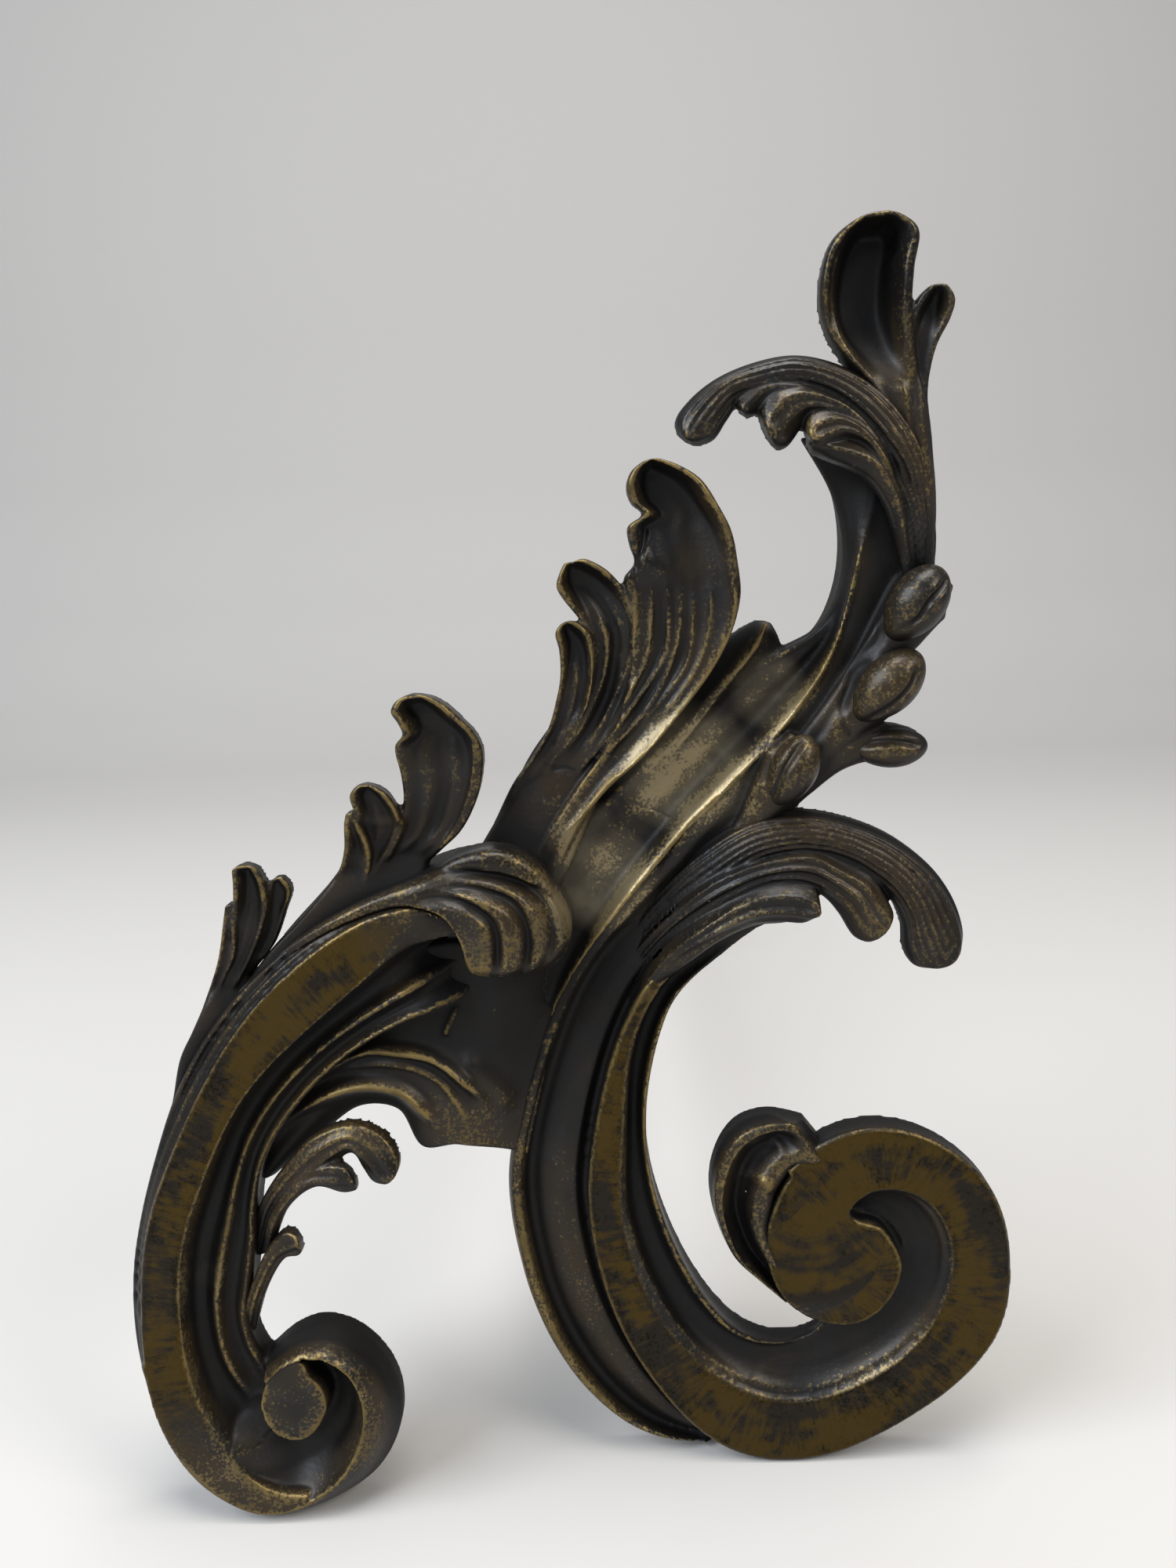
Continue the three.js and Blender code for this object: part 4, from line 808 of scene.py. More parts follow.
def wear_castings():
    """Gives each casting its wear and its painted shade: from its edges, from how far it stands out, from
    how it faces, and from the spots.
    """
    nearest = np.full(MAP_SIZE, NOTHING_THERE)
    places = []
    for _, co, normal, *_ in cast_pieces:
        cell = ((co[:, [0, 2]] - MAP_CORNER) / MAP_CELL).astype(int)
        places.append((cell[:, 0], cell[:, 1]))
        seen = -normal[:, 1] > 0.15
        np.minimum.at(nearest, (cell[seen, 0], cell[seen, 1]), co[seen, 1])
    there = (nearest < NOTHING_THERE).astype(float)
    depth = np.where(there > 0, nearest, 0.0)
    near_mean, far_mean, wide_mean = (
        spread(depth, cells) / np.maximum(spread(there, cells), TINY) for cells in MAP_SPREADS)
    for (cast, co, normal, proud_fine, proud_broad, flat, run, side, gold), at in zip(cast_pieces, places):
        near_rise = near_mean[at] - co[:, 1]
        far_rise = far_mean[at] - co[:, 1]
        wide_rise = wide_mean[at] - co[:, 1]
        rim = 1 - 0.65 * ease(proud_fine, 0.22, 0.55)
        # Each clipped term below: the millimetres that count in full, and its weight.
        worn = (np.clip(proud_fine / 0.2, -1, 1) * 0.5 * rim
                + np.clip(proud_broad / 0.9, -1, 1) * 0.35 * rim
                + np.clip(near_rise / 2.2, -1, 1) * 0.3 + np.clip(far_rise / 5.0, -1, 1) * 0.15)
        # hollow darkens the patina. It holds dark patina in the recesses, painted shade in deep hollows and
        # between parts, and painted shade on faces turned down, away from the lamps above.
        hollow = (np.clip(-proud_broad / 0.75, 0, 1) * 0.45 + np.clip(-proud_fine / 0.16, 0, 1) * 0.3
                  + np.clip(-near_rise / 2.2, 0, 1) * 0.6 + np.clip(-far_rise / 4.5, 0, 1) * 0.6
                  + np.clip(-wide_rise / 5.0, 0, 1) * 0.5 + 0.6 * ease(-normal[:, 2], 0.2, 0.9))
        # Painted shadow: these spots darken the web that lies behind and under the knuckle leaf.
        for x, z, radius, strength in PAINTED_SHADOW_SPOTS:
            reach = np.hypot(co[:, 0] - x, co[:, 2] - z) / radius
            hollow += (strength * (1 - ease(reach, 0.4, 1.2))
                       * ease(co[:, 1], PAINTED_SHADOW_DEPTH - 2, PAINTED_SHADOW_DEPTH + 1))
        worn = np.clip(worn * gold, 0, 1) * ease(-normal[:, 1], -0.6, 0.3)
        flat = flat * ease(run, 3, 18)
        # Handled spots: real rubbing of the metal, and where the painted sheen goes.
        handled_and_sheen = np.zeros(len(co))
        for x, z, radius, strength in HANDLED_AND_SHEEN_SPOTS:
            reach = np.hypot(co[:, 0] - x, co[:, 2] - z) / radius
            handled_and_sheen = np.maximum(handled_and_sheen, strength * (1 - ease(reach, 0.3, 1.2)))
        for key, values in (("worn", worn), ("hollow", np.clip(hollow, 0, 1.5)), ("flat", flat),
                            ("run", run), ("side", side), ("handled_and_sheen", handled_and_sheen)):
            cast.attributes.new(key, "FLOAT", "POINT").data.foreach_set("value", values.astype(np.float32))


# ---- The castings -----------------------------------------------------------------------

BAND_LEFT = fair([*BAND_OUTER[2:], *VOLUTE_OUTER])
BAND_RIGHT = fair([*BAND_INNER, *GROOVE_OUTER, *EYE_MIDDLE])
LIMB_END = len(BAND_INNER)
TRUNK_EDGE = fair(TRUNK_LEFT)
TRUNK_CREST = fair(TRUNK_RIDGE)
CHANNEL_LEFT = [[33.5, 113], [25, 110.5], *BAND_RIGHT[:LIMB_END]]
CHANNEL_RIGHT = [[33.5, 110.8], [25, 107.8], *fair(OPENING)]
ARM_LEFT = fair(ARM_BAND_OUTER)
ARM_RIGHT = fair(ARM_BAND_INNER)


def channel(u, t, e):
    """Left side of the trunk: a shallow channel that rises to the long gold ridge."""
    low = (2.4 - 3.4 * ease(u, 0.72, 1.0) + 1.0 * hump(u, 0.7, 0.14)
           + 2.5 * (1 - ease(u, 0.0, 0.1)) - 0.7 * hump(u, 0.14, 0.08))
    high = 1.6 - 2.2 * ease(u, 0.1, 1.0) + 1.0 * (1 - ease(u, 0.0, 0.25))
    share = ease(t, 0.16, 0.36)
    return high * (1 - share) + low * share


def trunk_back(u, t, e):
    """Thin at the trunk's left edge, and full towards the ridge."""
    return 4.5 + 7.5 * ease(u, 0.0, 0.35)


trunk_body = moulding((0, -1.0), (0.06, -0.5), (0.3, 0.5), (0.5, 1.7), (0.62, 1.9), (0.75, 1.6),
                      (0.88, 3.0), (1, 7.5))
limb_body = moulding((0, 5), (0.02, 3.6), (0.06, 2.6), (0.13, 2.4), (0.18, 3.2), (0.22, 5.6),
                     (0.28, 6.4), (0.4, 5.4), (0.6, 4.2), (0.8, 3.8), (0.86, 4.6), (0.91, 5.6),
                     (0.96, 5.2), (0.985, 2.0), (1, 0.2))


def mould(u, t, e):
    """Right of the ridge: the body of the trunk, which turns into the limb of the scroll."""
    down = ease(t, 0.3, 0.5)
    low = 2.0 * ease(t, 0.93, 1.0)
    top = 1 - ease(t, 0.06, 0.16)
    body = trunk_body(u, t) * (1 - top) + (-0.6 + 1.2 * u + 1.5 * u ** 8) * top
    return body * (1 - down) + limb_body(u, t) * down + low


channel_face = moulding((0, 0.2), (0.03, 1.2), (0.1, 1.0), (0.15, 1.3), (0.2, 3.4), (0.28, 4.6),
                        (0.55, 4.8), (0.74, 3.8), (0.82, 1.9), (0.9, 1.4), (0.97, 1.7), (1, 2.6))
groove_face = moulding((0, 0.2), (0.05, 1.4), (0.12, 1.3), (0.2, 2.6), (0.35, 3.8), (0.6, 4.8), (0.85, 5.2),
                       (1, 4.6))


def inner_channel(u, t, e):
    """Between the band and the opening. Its gold lip fades out before the curled end."""
    late = ease(t, 0.72, 0.97)
    early = 1 - ease(t, 0.06, 0.24)
    return (channel_face(u, t) * (1 - late) + groove_face(u, t) * late) * (1 - early) + 1.2 * early


def volute_back(u, t, e):
    """The band's back comes forward between the floor and the place where the scroll turns up."""
    return 9 - 3.0 * ease(t, 0.45, 0.7)


bm = bmesh.new()
strip(bm, [[x - 4, z] for x, z in STEM_WEB_LEFT], [[x + 1, z] for x, z in RIDGE[:6]],
      lambda u, t, e: 2.6 + 0 * u, 9, 8, 30)
strip(bm, TRUNK_EDGE, TRUNK_CREST, channel, 9, 34, 60, span=(0.635, 1))
strip(bm, MOULD_LEFT, MOULD_RIGHT, mould, 9, 60, 200, lap=(0, 0.6), span=(0.37, 1))
strip(bm, BAND_LEFT, BAND_RIGHT, lambda u, t, e: 0.3 * (1 - ease(e, 0, 0.6)), volute_back, 24, 260,
      sink=(4.5, 0.07))
strip(bm, CHANNEL_LEFT, CHANNEL_RIGHT, inner_channel, 9, 40, 160, lap=(0.6, 0), sink=(1.5, 0.08))
strip(bm, [[22, 16.8], *BAND_RIGHT[LIMB_END - 1:-2]], [[34, 23.6], [38, 26.5], *EYE_EDGE], groove_face,
      6, 40, 120, lap=(0.6, 2.5))
plate(bm, EYE_PLATE, 0.05, 6)
casting("right_scroll", bm, "bronze", 0.5, 2,
        lines=[("crest", TRUNK_RIDGE[8:] + RIDGE[6:9], 1.4, 0.7),
               ("crest", [[42.5, 50.6], [47, 51], [50.5, 48.5], [53, 45], [53.8, 41]], 1.6, 0.8)],
        bands=[(BAND_LEFT, BAND_RIGHT, 0.0, 0)])

ARM_FACE = -12.4
arm_outside = moulding((0, 5.5), (0.1, 3.2), (0.25, 2.4), (0.32, 3.6), (0.4, 4.2), (0.46, 3.0),
                       (0.58, 1.6), (0.72, 1.8), (0.8, 3.2), (0.86, 1.9), (0.93, 0.9), (1, 0.2))
arm_inside = moulding((0, 0.1), (0.025, 1.0), (0.07, 1.1), (0.1, 2.6), (0.16, 4.6), (0.3, 5.4),
                      (0.42, 4.6), (0.5, 3.0), (0.56, 2.9), (0.62, 4.4), (0.74, 5.6), (0.84, 4.8),
                      (0.92, 3.6), (1, 4.8))
foot_dish = moulding((0, -12.2), (0.1, -10.4), (0.3, -7.0), (0.6, -5.4), (0.85, -5.6), (1, -7.0))
bm = bmesh.new()
strip(bm, ARM_LEFT, ARM_RIGHT,
      lambda u, t, e: ARM_FACE + 3.5 * (1 - ease(t, 0.02, 0.12)) + 0.3 * (1 - ease(e, 0, 0.6)), -2, 24, 220)
strip(bm, fair(ARM_OUTLINE), ARM_LEFT[1:], lambda u, t, e: ARM_FACE + 0.2 + arm_outside(u, t), -2, 40, 180,
      lap=(0, 0.5))
strip(bm, ARM_RIGHT[:19], fair(ARM_INNER_EDGE),
      lambda u, t, e: ARM_FACE + arm_inside(u, t) * (1 - ease(t, 0.8, 0.95))
      + 6.2 * ease(t, 0.8, 0.95) * ease(u, 0.0, 0.35),
      -2, 50, 170, lap=(0.5, 0), sink=(7, 0.13), span=(0, 0.94))
strip(bm, fair(FOOT_OUTER), fair(FOOT_CREST),
      lambda u, t, e: -5.0 - 7.3 * np.sin(0.5 * np.pi * np.clip(u, 0, 1)) ** 0.8 + 0 * t, -2, 26, 150)
strip(bm, fair(FOOT_TURN), fair(FOOT_EYE_EDGE),
      lambda u, t, e: ARM_FACE + (foot_dish(u, t) - ARM_FACE)
      * np.maximum(0.1 + 0.9 * ease(t, 0.0, 0.3), ease(u, 0.3, 0.95)),
      -2, 36, 120, lap=(0.4, 3.0))
plate(bm, FOOT_EYE, -11.4, -2)
casting("left_arm", bm, "bronze", 0.45, 2,
        lines=[("crest", FOOT_CREST[1:], 1.6, 0.7), ("crest", FOOT_EYE[:7], 1.4, 0.5)],
        bands=[(ARM_LEFT[:18], ARM_RIGHT[:18], ARM_FACE, 0.2)])

bm = bmesh.new()
strip(bm, TRUNK_EDGE, TRUNK_CREST, channel, trunk_back, 40, 110, span=(0, 0.65), soft=0.8)
strip(bm, MOULD_LEFT, MOULD_RIGHT, mould, 12, 50, 130, span=(0, 0.385))
strip(bm, *POINT,
      lambda u, t, e: 4.0 - 1.2 * t - (1.4 + 3.6 * t) * np.clip(1 - np.abs(2 * u - 0.9), 0, 1) ** 1.3,
      8, 24, 80, soft=1.2, tip=True, thin=4.0)
for centre, widths, tops in (
        ([[57, 169.5], [53.5, 166], [49.5, 160.5], [44.5, 154], [38, 146.5], [31, 138.5], [24.5, 130.5]],
         [5, 11, 9, 6.5, 4.2, 2.8, 1.4], [-2.5, -3.8, -3.4, -2.4, -1.4, -0.9, 0.2]),
        ([[52, 156.5], [48.5, 153], [44, 148.5], [38.5, 142.5], [32.5, 135.5], [26, 128]],
         [6, 11.5, 9.5, 5.2, 3, 1.6], [-3, -4.2, -3.6, -2.4, -1.4, 0.2]),
        ([[53.5, 141], [50, 141], [45, 141.3], [39.5, 139], [34, 134], [28, 127.5]],
         [4.5, 6.8, 6.6, 4.6, 3, 1.6], [-0.5, -1.6, -1.8, -1.8, -1.0, 0.4]),
        ([[33, 143], [31, 139], [28, 133.5], [24, 127.5], [18, 120.5], [12, 114]],
         [4.5, 9.8, 8, 5, 3, 1.6], [-2.8, -4.2, -3.6, -1.6, -0.4, 0.8])):
    rib(bm, centre, widths, tops, 7, 16, 60, steep=0.7)
casting("stem", bm, "bronze", 0.42, 2,
        lines=[("crest", TRUNK_RIDGE[:11], 1.4, 0.7),
               ("crest", [[27.5, 161.5], [25, 158], [20, 151.5], [14.5, 144.5], [8.5, 137.5]], 1.2, 0.6),
               ("groove", [[39.5, 146], [40.5, 149.5], [42.5, 153.5], [45, 156.5]], 1.6, 0.9),
               ("groove", [[47, 163], [46, 159.5], [42.5, 155.5], [40.5, 151]], 2.0, 0.9),
               ("groove", [[39.5, 146], [40.5, 144.5], [41.5, 143]], 0.9, 0.5),
               ("ridge", [[37.5, 139], [41, 141], [45, 143], [49, 143], [52, 142.5]], 1.4, 0.5)])

bm = bmesh.new()
strip(bm, *ARCH, lambda u, t, e: -2.6 - 2.2 * hump(u, 0.75, 0.22) * (1 - ease(t, 0.75, 0.9))
      + 6.0 * ease(t, 0.84, 1.0), 8, 60, 130, soft=1.2)
casting("arch_web", bm, "bronze", 0.4, 2, lines=[
    ("ridge", [[-66, 66.5], [-61, 79.5], [-56, 86], [-50.5, 91.5], [-44.5, 95], [-39, 97.5], [-34.5, 98],
               [-27, 99]], 2.8, 2.2),
    ("ridge", [[-70, 64.5], [-64.5, 74.5], [-59, 82], [-52, 86.5], [-45, 89.5], [-38.5, 89], [-33, 87.5],
               [-28.5, 84], [-25.5, 80], [-24, 73]], 2.4, 2.6),
    ("ridge", [[-66.5, 69], [-60.5, 76.5], [-54, 81], [-48, 83], [-43.5, 83], [-39, 81.5], [-35.5, 78],
               [-33, 73]], 2.4, 2.2),
    ("ridge", [[-54, 84], [-48, 86.5], [-42, 87], [-36, 85.5], [-31.5, 82.5], [-29, 78],
               [-27.5, 71]], 1.6, 0.9),
    ("ridge", [[-28.5, 89], [-25.5, 84.5], [-22.5, 80], [-20, 74]], 3.4, 1.3),
    ("crest", [[-28.5, 97], [-30, 94], [-31.5, 91]], 1.2, 1.6)])


def roll(u, t, e):
    """Leaf end that swells and rolls over where the arm meets the trunk."""
    grown = ease(t, 0.24, 0.55)
    dome = np.sin(np.pi * (0.08 + 0.62 * np.clip(u, 0, 1)))
    return (-10.6 + 3.6 * grown - (0.8 + 6.3 * grown) * dome + 9.0 * ease(t, 0.8, 1.0) ** 1.5
            + quarter(np.clip(u, 0, 1) * 12, 4.0))


bm = bmesh.new()
strip(bm, *KNUCKLE, roll, 4, 48, 140, sink=(3, 0.24))
rib(bm, [[-31, 122], [-26.5, 124], [-21.5, 124.9], [-17, 123.8], [-13.5, 121.2], [-11, 118]],
    [1.2, 2.8, 3.8, 4.0, 3.4, 1.6], [-9.0, -10.4, -11.0, -10.6, -9.6, -7.5], 8, 16, 60)
casting("knuckle_leaf", bm, "bronze_worn", 0.36, 3, gold=0.85, lines=[
    ("groove", [[-34, 119.8], [-27, 121], [-21.5, 120], [-17, 117.5], [-15, 113], [-15.5, 107],
                [-18, 102]], 1.9, 1.7),
    ("groove", [[-35, 119], [-28, 119.2], [-23.5, 117.5], [-20.5, 114.5], [-20, 109],
                [-21.5, 103.5]], 1.8, 1.6),
    ("groove", [[-33, 121], [-26, 122.8], [-19, 121.8], [-13.8, 119], [-11, 114.5], [-11.2, 109],
                [-14, 104]], 1.7, 1.4),
    ("crest", [[-37, 117.8], [-32, 117.6], [-28.8, 116.2], [-27, 113.3], [-26, 110],
               [-25.8, 106.8]], 1.6, 0.8),
    ("crest", [[-26, 123.6], [-21.5, 123.4], [-18.5, 122.8], [-15, 121.4], [-12.5, 119.8]], 1.0, 0.8)])

bm = bmesh.new()
lobe(bm, TALL_MAIN, spoon(-3.0, -8.6, 4, 0.15, 4.8, 1.7, 0.52, 0.84), 3, 60, 150, 1.5, (3, 0.1), 2.6)
lobe(bm, TALL_SECOND, spoon(-2.4, -7.4, 3, 0.6, 3.6, 1.3, 0.5, 0.78), 3, 36, 110, 1.2, (2, 0.2), 2.4)
lobe(bm, TALL_THIRD, spoon(-1.8, -6.2, 2, 0.5, 2.6, 1.1, 0.5, 0.78), 2.6, 30, 90, 1.0, (2, 0.2), 2.2)
strip(bm, *LEAF_ROOT, lambda u, t, e: 1.4 - (2.4 + 1.0 * np.sin(np.pi * u)) * ease(t, 0, 0.35)
      + 1.2 * ease(t, 0.45, 0.95), 4, 30, 80, soft=1.6)
casting("tall_leaf", bm, "bronze_worn", 0.34, 1, lines=[
    ("crest", [[19.5, 176], [20.5, 173], [21, 169.5], [21.5, 166], [20.5, 161], [18.5, 156], [14.5, 151],
               [9.5, 145], [4.5, 140], [0, 136.5], [-4.5, 131.5], [-9, 126.5], [-11, 121]], 1.4, 1.1),
    ("crest", [[4.5, 172.5], [5, 167], [4.5, 161.5], [3, 155.5], [-0.5, 148], [-5.5, 139.5]], 1.4, 1.0),
    ("crest", [[-4.5, 163.5], [-3, 160], [-2.5, 156], [-3.5, 150.5], [-6.5, 144.5], [-9.5, 140]], 1.4, 1.0),
    ("crest", [[-7, 158], [-5.5, 156], [-6, 150.5], [-8, 145.5], [-10.5, 141.5]], 1.2, 0.5),
    ("crest", [[10, 174], [10.5, 165.5], [10, 159], [7, 153.5], [2, 147], [-3, 141]], 1.5, 1.4),
    ("crest", [[12.5, 174], [12.5, 165.5], [11.5, 159], [8.5, 152], [3.5, 145.5], [-3, 139.5]], 1.5, 1.4),
    ("crest", [[14.5, 172], [14.5, 163.5], [13.5, 157], [9.5, 151], [4.5, 145]], 1.5, 1.2),
    ("crest", [[7.5, 172], [7.5, 164], [6.5, 157.5], [3, 151], [-1, 145]], 1.4, 1.2),
    ("crest", [[17, 172], [17.5, 165], [16, 158], [12.5, 152], [7.5, 146]], 1.3, 0.9),
    ("crest", [[-1.5, 166], [0, 161], [-0.5, 155.5], [-3.5, 148.5], [-8, 140.5]], 1.3, 0.9),
    ("groove", [[4.5, 170.5], [5.5, 173.5], [6.6, 177], [7, 181]], 1.0, 0.8),
    ("groove", [[-12, 140.5], [-10, 139], [-7.5, 139], [-5, 138]], 0.7, 0.25)])

bm = bmesh.new()
strip(bm, *CROWN_MAIN,
      lambda u, t, e: (-2.6 - 4.0 * ease(t, 0.1, 0.9) + 7.5 * ease(e, 1.3, 4.6) * ease(t, 0.38, 0.75)
                       - 1.4 * hump(u, 0.55, 0.3) * (1 - ease(t, 0.3, 0.55))),
      7, 50, 140, soft=1.7, sink=(3.5, 0.2), tip=True, thin=3.0)
lobe(bm, CROWN_SMALL, spoon(-3.0, -6.0, 2, 0.4, 3.2, 1.3, 0.5, 0.78), 5, 26, 80, 1.3, (3, 0.25), 2.6)
casting("crown_leaf", bm, "bronze", 0.36, 3, gold=0.6, lines=[
    ("crest", [[37.2, 208.5], [40, 205], [44, 200.6], [47, 196], [49.3, 190], [50.5, 184],
               [51.5, 177]], 1.6, 1.2),
    ("groove", [[38.8, 206.8], [37.4, 211], [37.2, 215.5], [37.8, 219.5], [39.2, 222]], 1.1, 0.9),
    ("crest", [[48, 203], [49, 199], [50, 193], [51, 186.5], [52, 178.5]], 1.2, 0.5),
    ("groove", [[51.5, 204], [51, 199], [51, 193], [52, 186.5]], 1.4, 0.5),
    ("groove", [[50.2, 222], [48.5, 221.5], [47, 220]], 0.8, 0.6)])

bm = bmesh.new()
strip(bm, *SIDE_FAN, lambda u, t, e: -2.6 - 1.6 * t - 0.8 * np.sin(np.pi * u) + flutes(u, 7, 0.7),
      2, 50, 80, soft=1.4, sink=(3.5, 0.35))
lobe(bm, SIDE_MAIN, finger(-4.0, -6.5, 6, 0.55, 1.8), 1, 60, 130, 1.8, (3.5, 0.25), 3.0)
lobe(bm, SIDE_MIDDLE, finger(-5.2, -6.6, 2, 0.4, 1.4), -1, 20, 50, 1.2, (0, 0), 2.5)
lobe(bm, SIDE_THIRD, finger(-4.8, -7.4, 3, 0.45, 1.9), 0, 34, 90, 1.6, (3.5, 0.3), 3.0)
lobe(bm, SIDE_FOURTH, finger(-5.0, -8.0, 3, 0.45, 1.9), 0, 30, 80, 1.4, (3.5, 0.3), 3.0)
lobe(bm, SIDE_FIFTH, finger(-4.6, -7.2, 2, 0.4, 1.6), 1, 24, 70, 1.2, (3.0, 0.3), 2.6)
casting("crown_side_leaf", bm, "bronze_worn", 0.3, 1, gold=0.75)

bm = bmesh.new()
lobe(bm, DROOP_MAIN, finger(-0.6, -4.8, 8, 0.75, 2.2), 4, 80, 150, 2.0, (7.5, 0.36), 3.2)
lobe(bm, DROOP_SECOND, finger(-1.4, -5.0, 4, 0.75, 2.0), 3.4, 44, 110, 1.8, (8, 0.38), 3.0, lap=(1.6, 0))
strip(bm, *DROOP_UNDER, lambda u, t, e: -1.5 - 1.5 * np.sin(np.pi * u) - 0.5 * t, 4, 24, 80, soft=1.6,
      sink=(8, 0.45), tip=True, thin=3.0)
lobe(bm, DROOP_THIRD, finger(-1.8, -5.2, 3, 0.75, 2.4), 3, 40, 100, 1.8, (8, 0.45), 3.4)
casting("drooping_leaf", bm, "bronze_worn", 0.32, 2, gold=0.6)

bm = bmesh.new()
strip(bm, *SHOULDER_WEB, lambda u, t, e: -8.6 + 1.0 * u + 1.6 * ease(t, 0.6, 1.0),
      -3, 30, 60, soft=1.2, sink=(2, 0.2), thin=3.2)
lobe(bm, SHOULDER_MAIN, spoon(-8.2, -14.0, 3, 0.7, 4.0, 1.7, 0.45, 0.74), -3, 50, 110, 1.4, (3, 0.2), 3.2)
lobe(bm, SHOULDER_SECOND, spoon(-8.0, -12.4, 2, 0.6, 2.6, 1.2, 0.45, 0.75),
     -3.2, 34, 70, 1.1, (3, 0.2), 2.8)
lobe(bm, SHOULDER_THIRD, spoon(-7.6, -11.2, 1, 0.5, 2.0, 1.1, 0.45, 0.75),
     -3.4, 30, 70, 1.0, (2.5, 0.2), 2.6)
casting("shoulder_leaf", bm, "bronze_worn", 0.34, 1, lines=[
    ("crest", [[-23, 148], [-22.5, 143], [-24, 136], [-28, 128.5], [-33, 123.5]], 1.3, 0.8),
    ("crest", [[-36.5, 138], [-36, 133], [-38.5, 127], [-43, 120.5]], 1.2, 0.6)])

bm = bmesh.new()
strip(bm, *OUTER_WEB, lambda u, t, e: -8.4 + 1.6 * u - 0.6 * t + 2.6 * ease(t, 0.6, 1.0),
      -3.5, 24, 60, soft=1.2, sink=(2, 0.2), thin=3.0)
lobe(bm, OUTER_MAIN, spoon(-7.6, -11.5, 2, 0.5, 2.2, 1.1, 0.45, 0.75), -3.5, 34, 80, 1.0, (2, 0.2), 2.6)
lobe(bm, OUTER_RIGHT, spoon(-7.2, -10.0, 1, 0.3, 1.2, 0.8, 0.45, 0.75), -3.6, 20, 60, 0.8, (2, 0.2), 2.2)
lobe(bm, OUTER_LEFT, spoon(-7.4, -10.0, 1, 0.3, 1.2, 0.8, 0.45, 0.75), -3.7, 20, 60, 0.8, (2, 0.2), 2.2)
casting("outer_leaf", bm, "bronze_worn", 0.3, 1)

bm = bmesh.new()
lobe(bm, INNER_MAIN, finger(-8.0, -11.0, 3, 0.6, 1.0), -5, 44, 90, 1.1, (2, 0.2), 2.6)
lobe(bm, INNER_SECOND, finger(-9.0, -11.0, 2, 0.5, 0.8), -5, 26, 60, 0.9, (2, 0.2), 2.2)
casting("inner_leaf", bm, "bronze", 0.3, 6, gold=0.7)

bm = bmesh.new()
lobe(bm, SPRIG, finger(-8.6, -10.6, 2, 0.5, 0.8), -5, 24, 60, 0.9, (1.5, 0.2), 2.2)
casting("inner_sprig", bm, "bronze", 0.26, 3)

volute_fold = moulding((0, 2.5), (0.06, -0.6), (0.16, -1.2), (0.28, 1.6), (0.4, 3.8), (0.52, 2.6),
                       (0.64, 0.2), (0.76, -0.4), (0.86, 0.6), (1, 2.6))
bm = bmesh.new()
strip(bm, *VOLUTE_LEAF,
      lambda u, t, e: volute_fold(u, t) * ease(t, 0.06, 0.22) - 0.8 * (1 - ease(t, 0.06, 0.22))
      + 1.5 * ease(t, 0.75, 1.0) + 3.0 * ease(u, 0.9, 1.0), 6, 44, 120, lap=(0, 3.5), sink=(3, 0.08))
casting("volute_leaf", bm, "bronze", 0.34, 2, lines=[
    ("ridge", [[22.5, 66.5], [25.5, 67.3], [28.5, 66.8], [30.5, 64.5]], 2.6, 1.1),
    ("ridge", [[20.5, 59], [23.5, 60.3], [26.3, 59.8], [28, 57]], 2.6, 1.0)])

for name, middle, length, width, turn, depth, split in (
        ("bud_top", [52.0, 165.2], 7.2, 5.3, 0.95, -2.6,
         [[48, 160.5], [51.5, 163], [53, 165.5], [55.5, 168], [57, 170]]),
        ("bud_middle", [47.4, 151.6], 7.6, 5.2, 0.8, -3.0,
         [[41.5, 144.5], [45.5, 147.5], [48, 149.5], [50.5, 152.5], [51.5, 156]]),
        ("bud_side", [48.6, 140.6], 6.3, 3.8, 0.06, -0.6,
         [[42.5, 141], [46, 142], [49.5, 142], [54, 141]]),
        ("bud_lower", [31.3, 137.6], 6.6, 4.6, 1.1, -3.0,
         [[27, 130], [28, 134.5], [29.5, 138.5], [31.5, 141.5], [34, 144]])):
    bm = bmesh.new()
    bud(bm, middle, length, width, turn, depth)
    casting(name, bm, "bronze", 0.3, 1, lines=[("groove", split, 1.1, 0.9)], gold=0.42)


wear_castings()


# ---- Iron work: the solids stay, with their finish ----------------------------------------

for name in ("log_bar", "rear_leg", "splice_plate", "splice_screw_upper", "splice_screw_lower",
             "arm_screw_upper", "arm_screw_lower", "tang_bolt_upper", "tang_bolt_lower",
             "tang_washer_upper", "tang_washer_lower"):
    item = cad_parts[name]
    item.data.materials.clear()
    item.data.materials.append(IRON)


# ---- Floor, light and camera ---------------------------------------------------------------

def backdrop_finish():
    """Plain pale paper under and behind the andiron."""
    f = Finish("backdrop")
    base = f.node("ShaderNodeBsdfDiffuse", {}, {"Color": PALE_FLOOR})
    f.node("ShaderNodeOutputMaterial", {}, {"Surface": base.field("BSDF")})
    return f.material


bm = bmesh.new()
bmesh.ops.create_grid(bm, x_segments=1, y_segments=24, size=1.0)
FRONT_EDGE, BACK_EDGE, RISE, SWEEP, HALF_WIDTH = -1.2, 1.1, 1.6, 0.35, 2.2
BEND_START, BEND_LENGTH = BACK_EDGE - SWEEP, SWEEP * math.pi / 2
for v in bm.verts:
    s = (v.co.y + 1) / 2
    y = FRONT_EDGE + s * (-FRONT_EDGE + BACK_EDGE + RISE)
    if y < BEND_START:
        place = (y, 0.0)
    elif y < BEND_START + BEND_LENGTH:
        a = (y - BEND_START) / SWEEP
        place = (BEND_START + SWEEP * math.sin(a), SWEEP * (1 - math.cos(a)))
    else:
        place = (BACK_EDGE, SWEEP + y - (BEND_START + BEND_LENGTH))
    v.co = (v.co.x * HALF_WIDTH, place[0], place[1])
ground = bpy.data.meshes.new("floor")
bm.to_mesh(ground)
bm.free()
for face in ground.polygons:
    face.use_smooth = True
floor = bpy.data.objects.new("floor", ground)
bpy.context.scene.collection.objects.link(floor)
ground.materials.append(backdrop_finish())

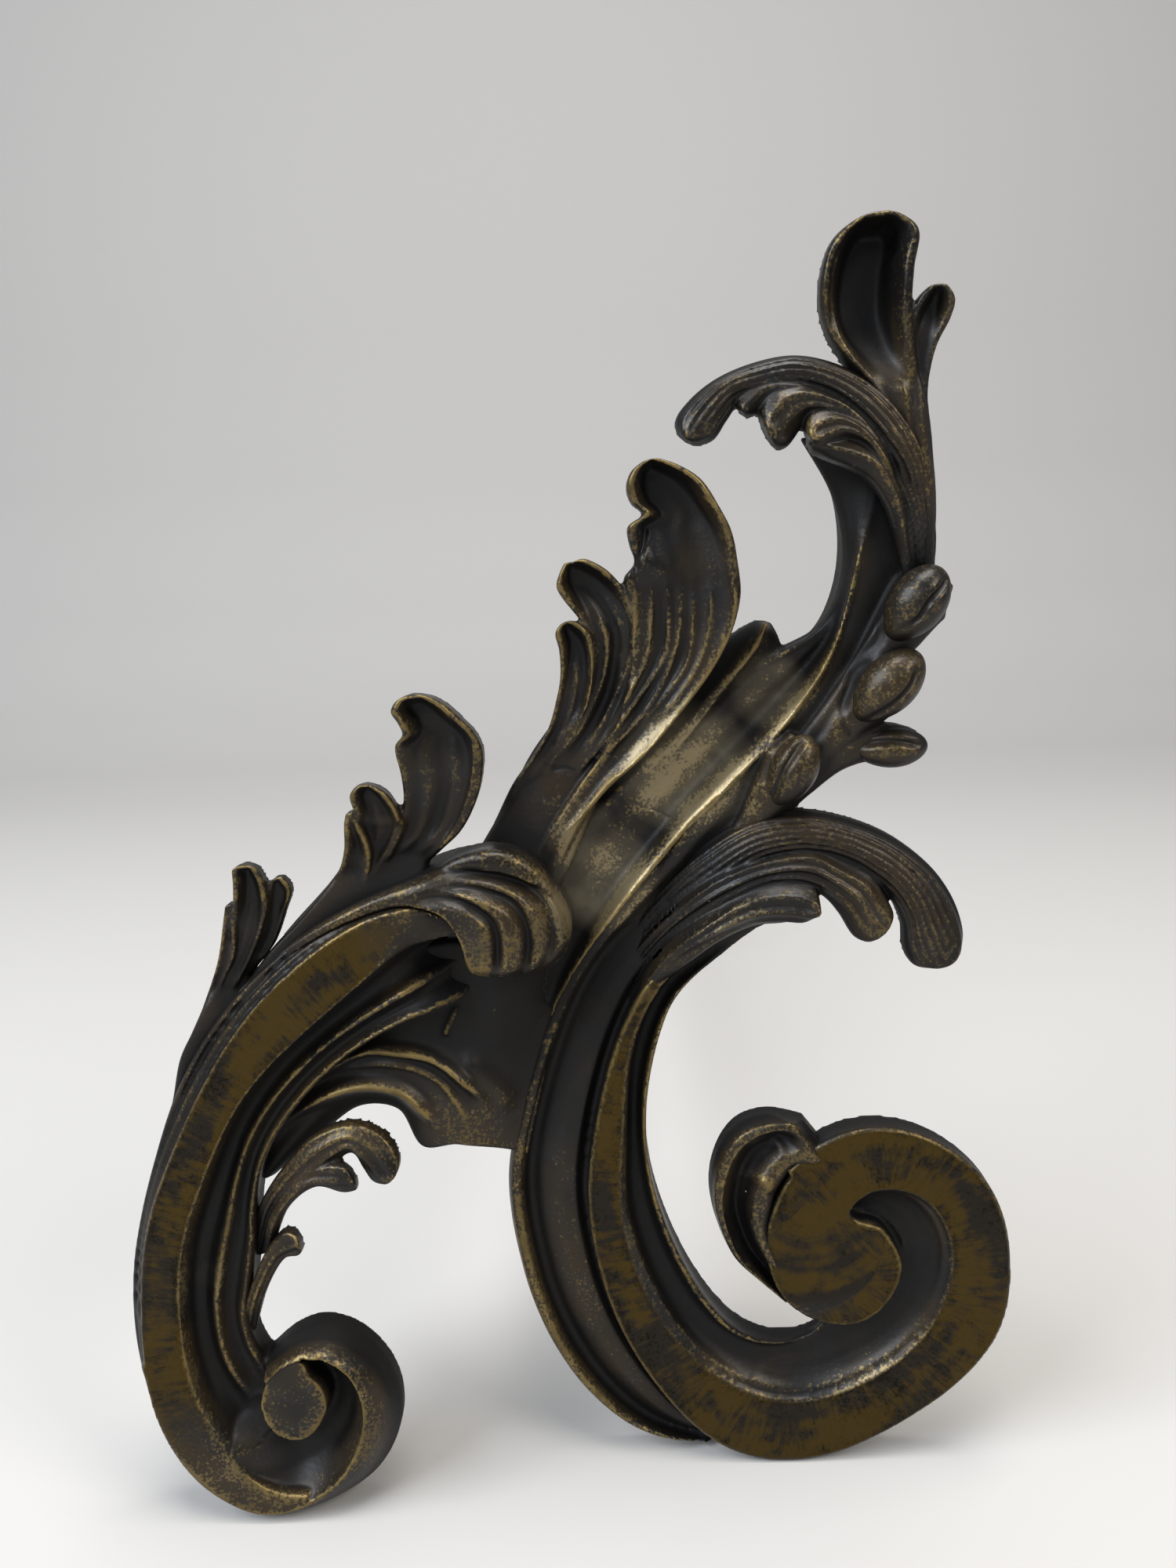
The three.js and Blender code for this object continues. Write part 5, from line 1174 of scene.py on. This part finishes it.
world = bpy.data.worlds.new("studio")
bpy.context.scene.world = world
world.use_nodes = True
STUDIO_LIGHT, STUDIO_STRENGTH = (0.86, 0.9, 1.0, 1), 0.26
world.node_tree.nodes["Background"].inputs["Color"].default_value = STUDIO_LIGHT
world.node_tree.nodes["Background"].inputs["Strength"].default_value = STUDIO_STRENGTH


def softbox(name, place, aim, size, power, colour):
    """A rectangular lamp that looks at a point."""
    lamp = bpy.data.lights.new(name, "AREA")
    lamp.shape = "RECTANGLE"
    lamp.size, lamp.size_y = size
    lamp.energy = power
    lamp.color = colour
    box = bpy.data.objects.new(name, lamp)
    box.location = place
    box.rotation_mode = "QUATERNION"
    box.rotation_quaternion = (Vector(aim) - Vector(place)).to_track_quat("-Z", "Y")
    bpy.context.scene.collection.objects.link(box)


FRONT_MIDDLE = (0, -0.12, 0.1)
softbox("key", (-0.95, -0.75, 1.0), FRONT_MIDDLE, (0.9, 0.9), 26, (0.86, 0.92, 1.0))
softbox("fill", (0.85, -0.75, 0.9), FRONT_MIDDLE, (0.5, 0.5), 8, (1.0, 0.94, 0.84))
softbox("front", (-0.35, -1.5, 0.9), FRONT_MIDDLE, (0.5, 0.5), 3.5, (0.95, 0.97, 1.0))
softbox("top", (0.1, -0.25, 1.4), (0, -0.1, 0.1), (0.8, 0.6), 18, (1.0, 0.98, 0.95))

CAMERA_AT = np.array([0.0, -203.0, 172.0])  # in the drawing
PITCH, ROLL, YAW = math.radians(10.11), math.radians(-1.98), math.radians(-1.13)
FOCAL_LENGTH, FRAME_HEIGHT, SENSOR = 1503.0, 2000.0, 36.0  # pixels, pixels, millimetres
ahead = Vector((math.sin(YAW), math.cos(YAW), 0))
right = Vector((math.cos(YAW), -math.sin(YAW), 0))
up = Vector((0, 0, 1))
look = ahead * math.cos(PITCH) - up * math.sin(PITCH)
above = up * math.cos(PITCH) + ahead * math.sin(PITCH)
level = right * math.cos(ROLL) + above * math.sin(ROLL)
above = above * math.cos(ROLL) - right * math.sin(ROLL)
camera_data = bpy.data.cameras.new("camera")
camera_data.sensor_width = SENSOR
camera_data.lens = FOCAL_LENGTH / FRAME_HEIGHT * SENSOR
camera_data.clip_start, camera_data.clip_end = 0.01, 20
camera = bpy.data.objects.new("camera", camera_data)
turn = Matrix((level, above, -look)).transposed().to_4x4()
camera.matrix_world = Matrix.Translation(Vector(CAMERA_AT * MM + DRAWING_ORIGIN)) @ turn
bpy.context.scene.collection.objects.link(camera)
bpy.context.scene.camera = camera
bpy.context.scene.view_settings.view_transform = "Standard"
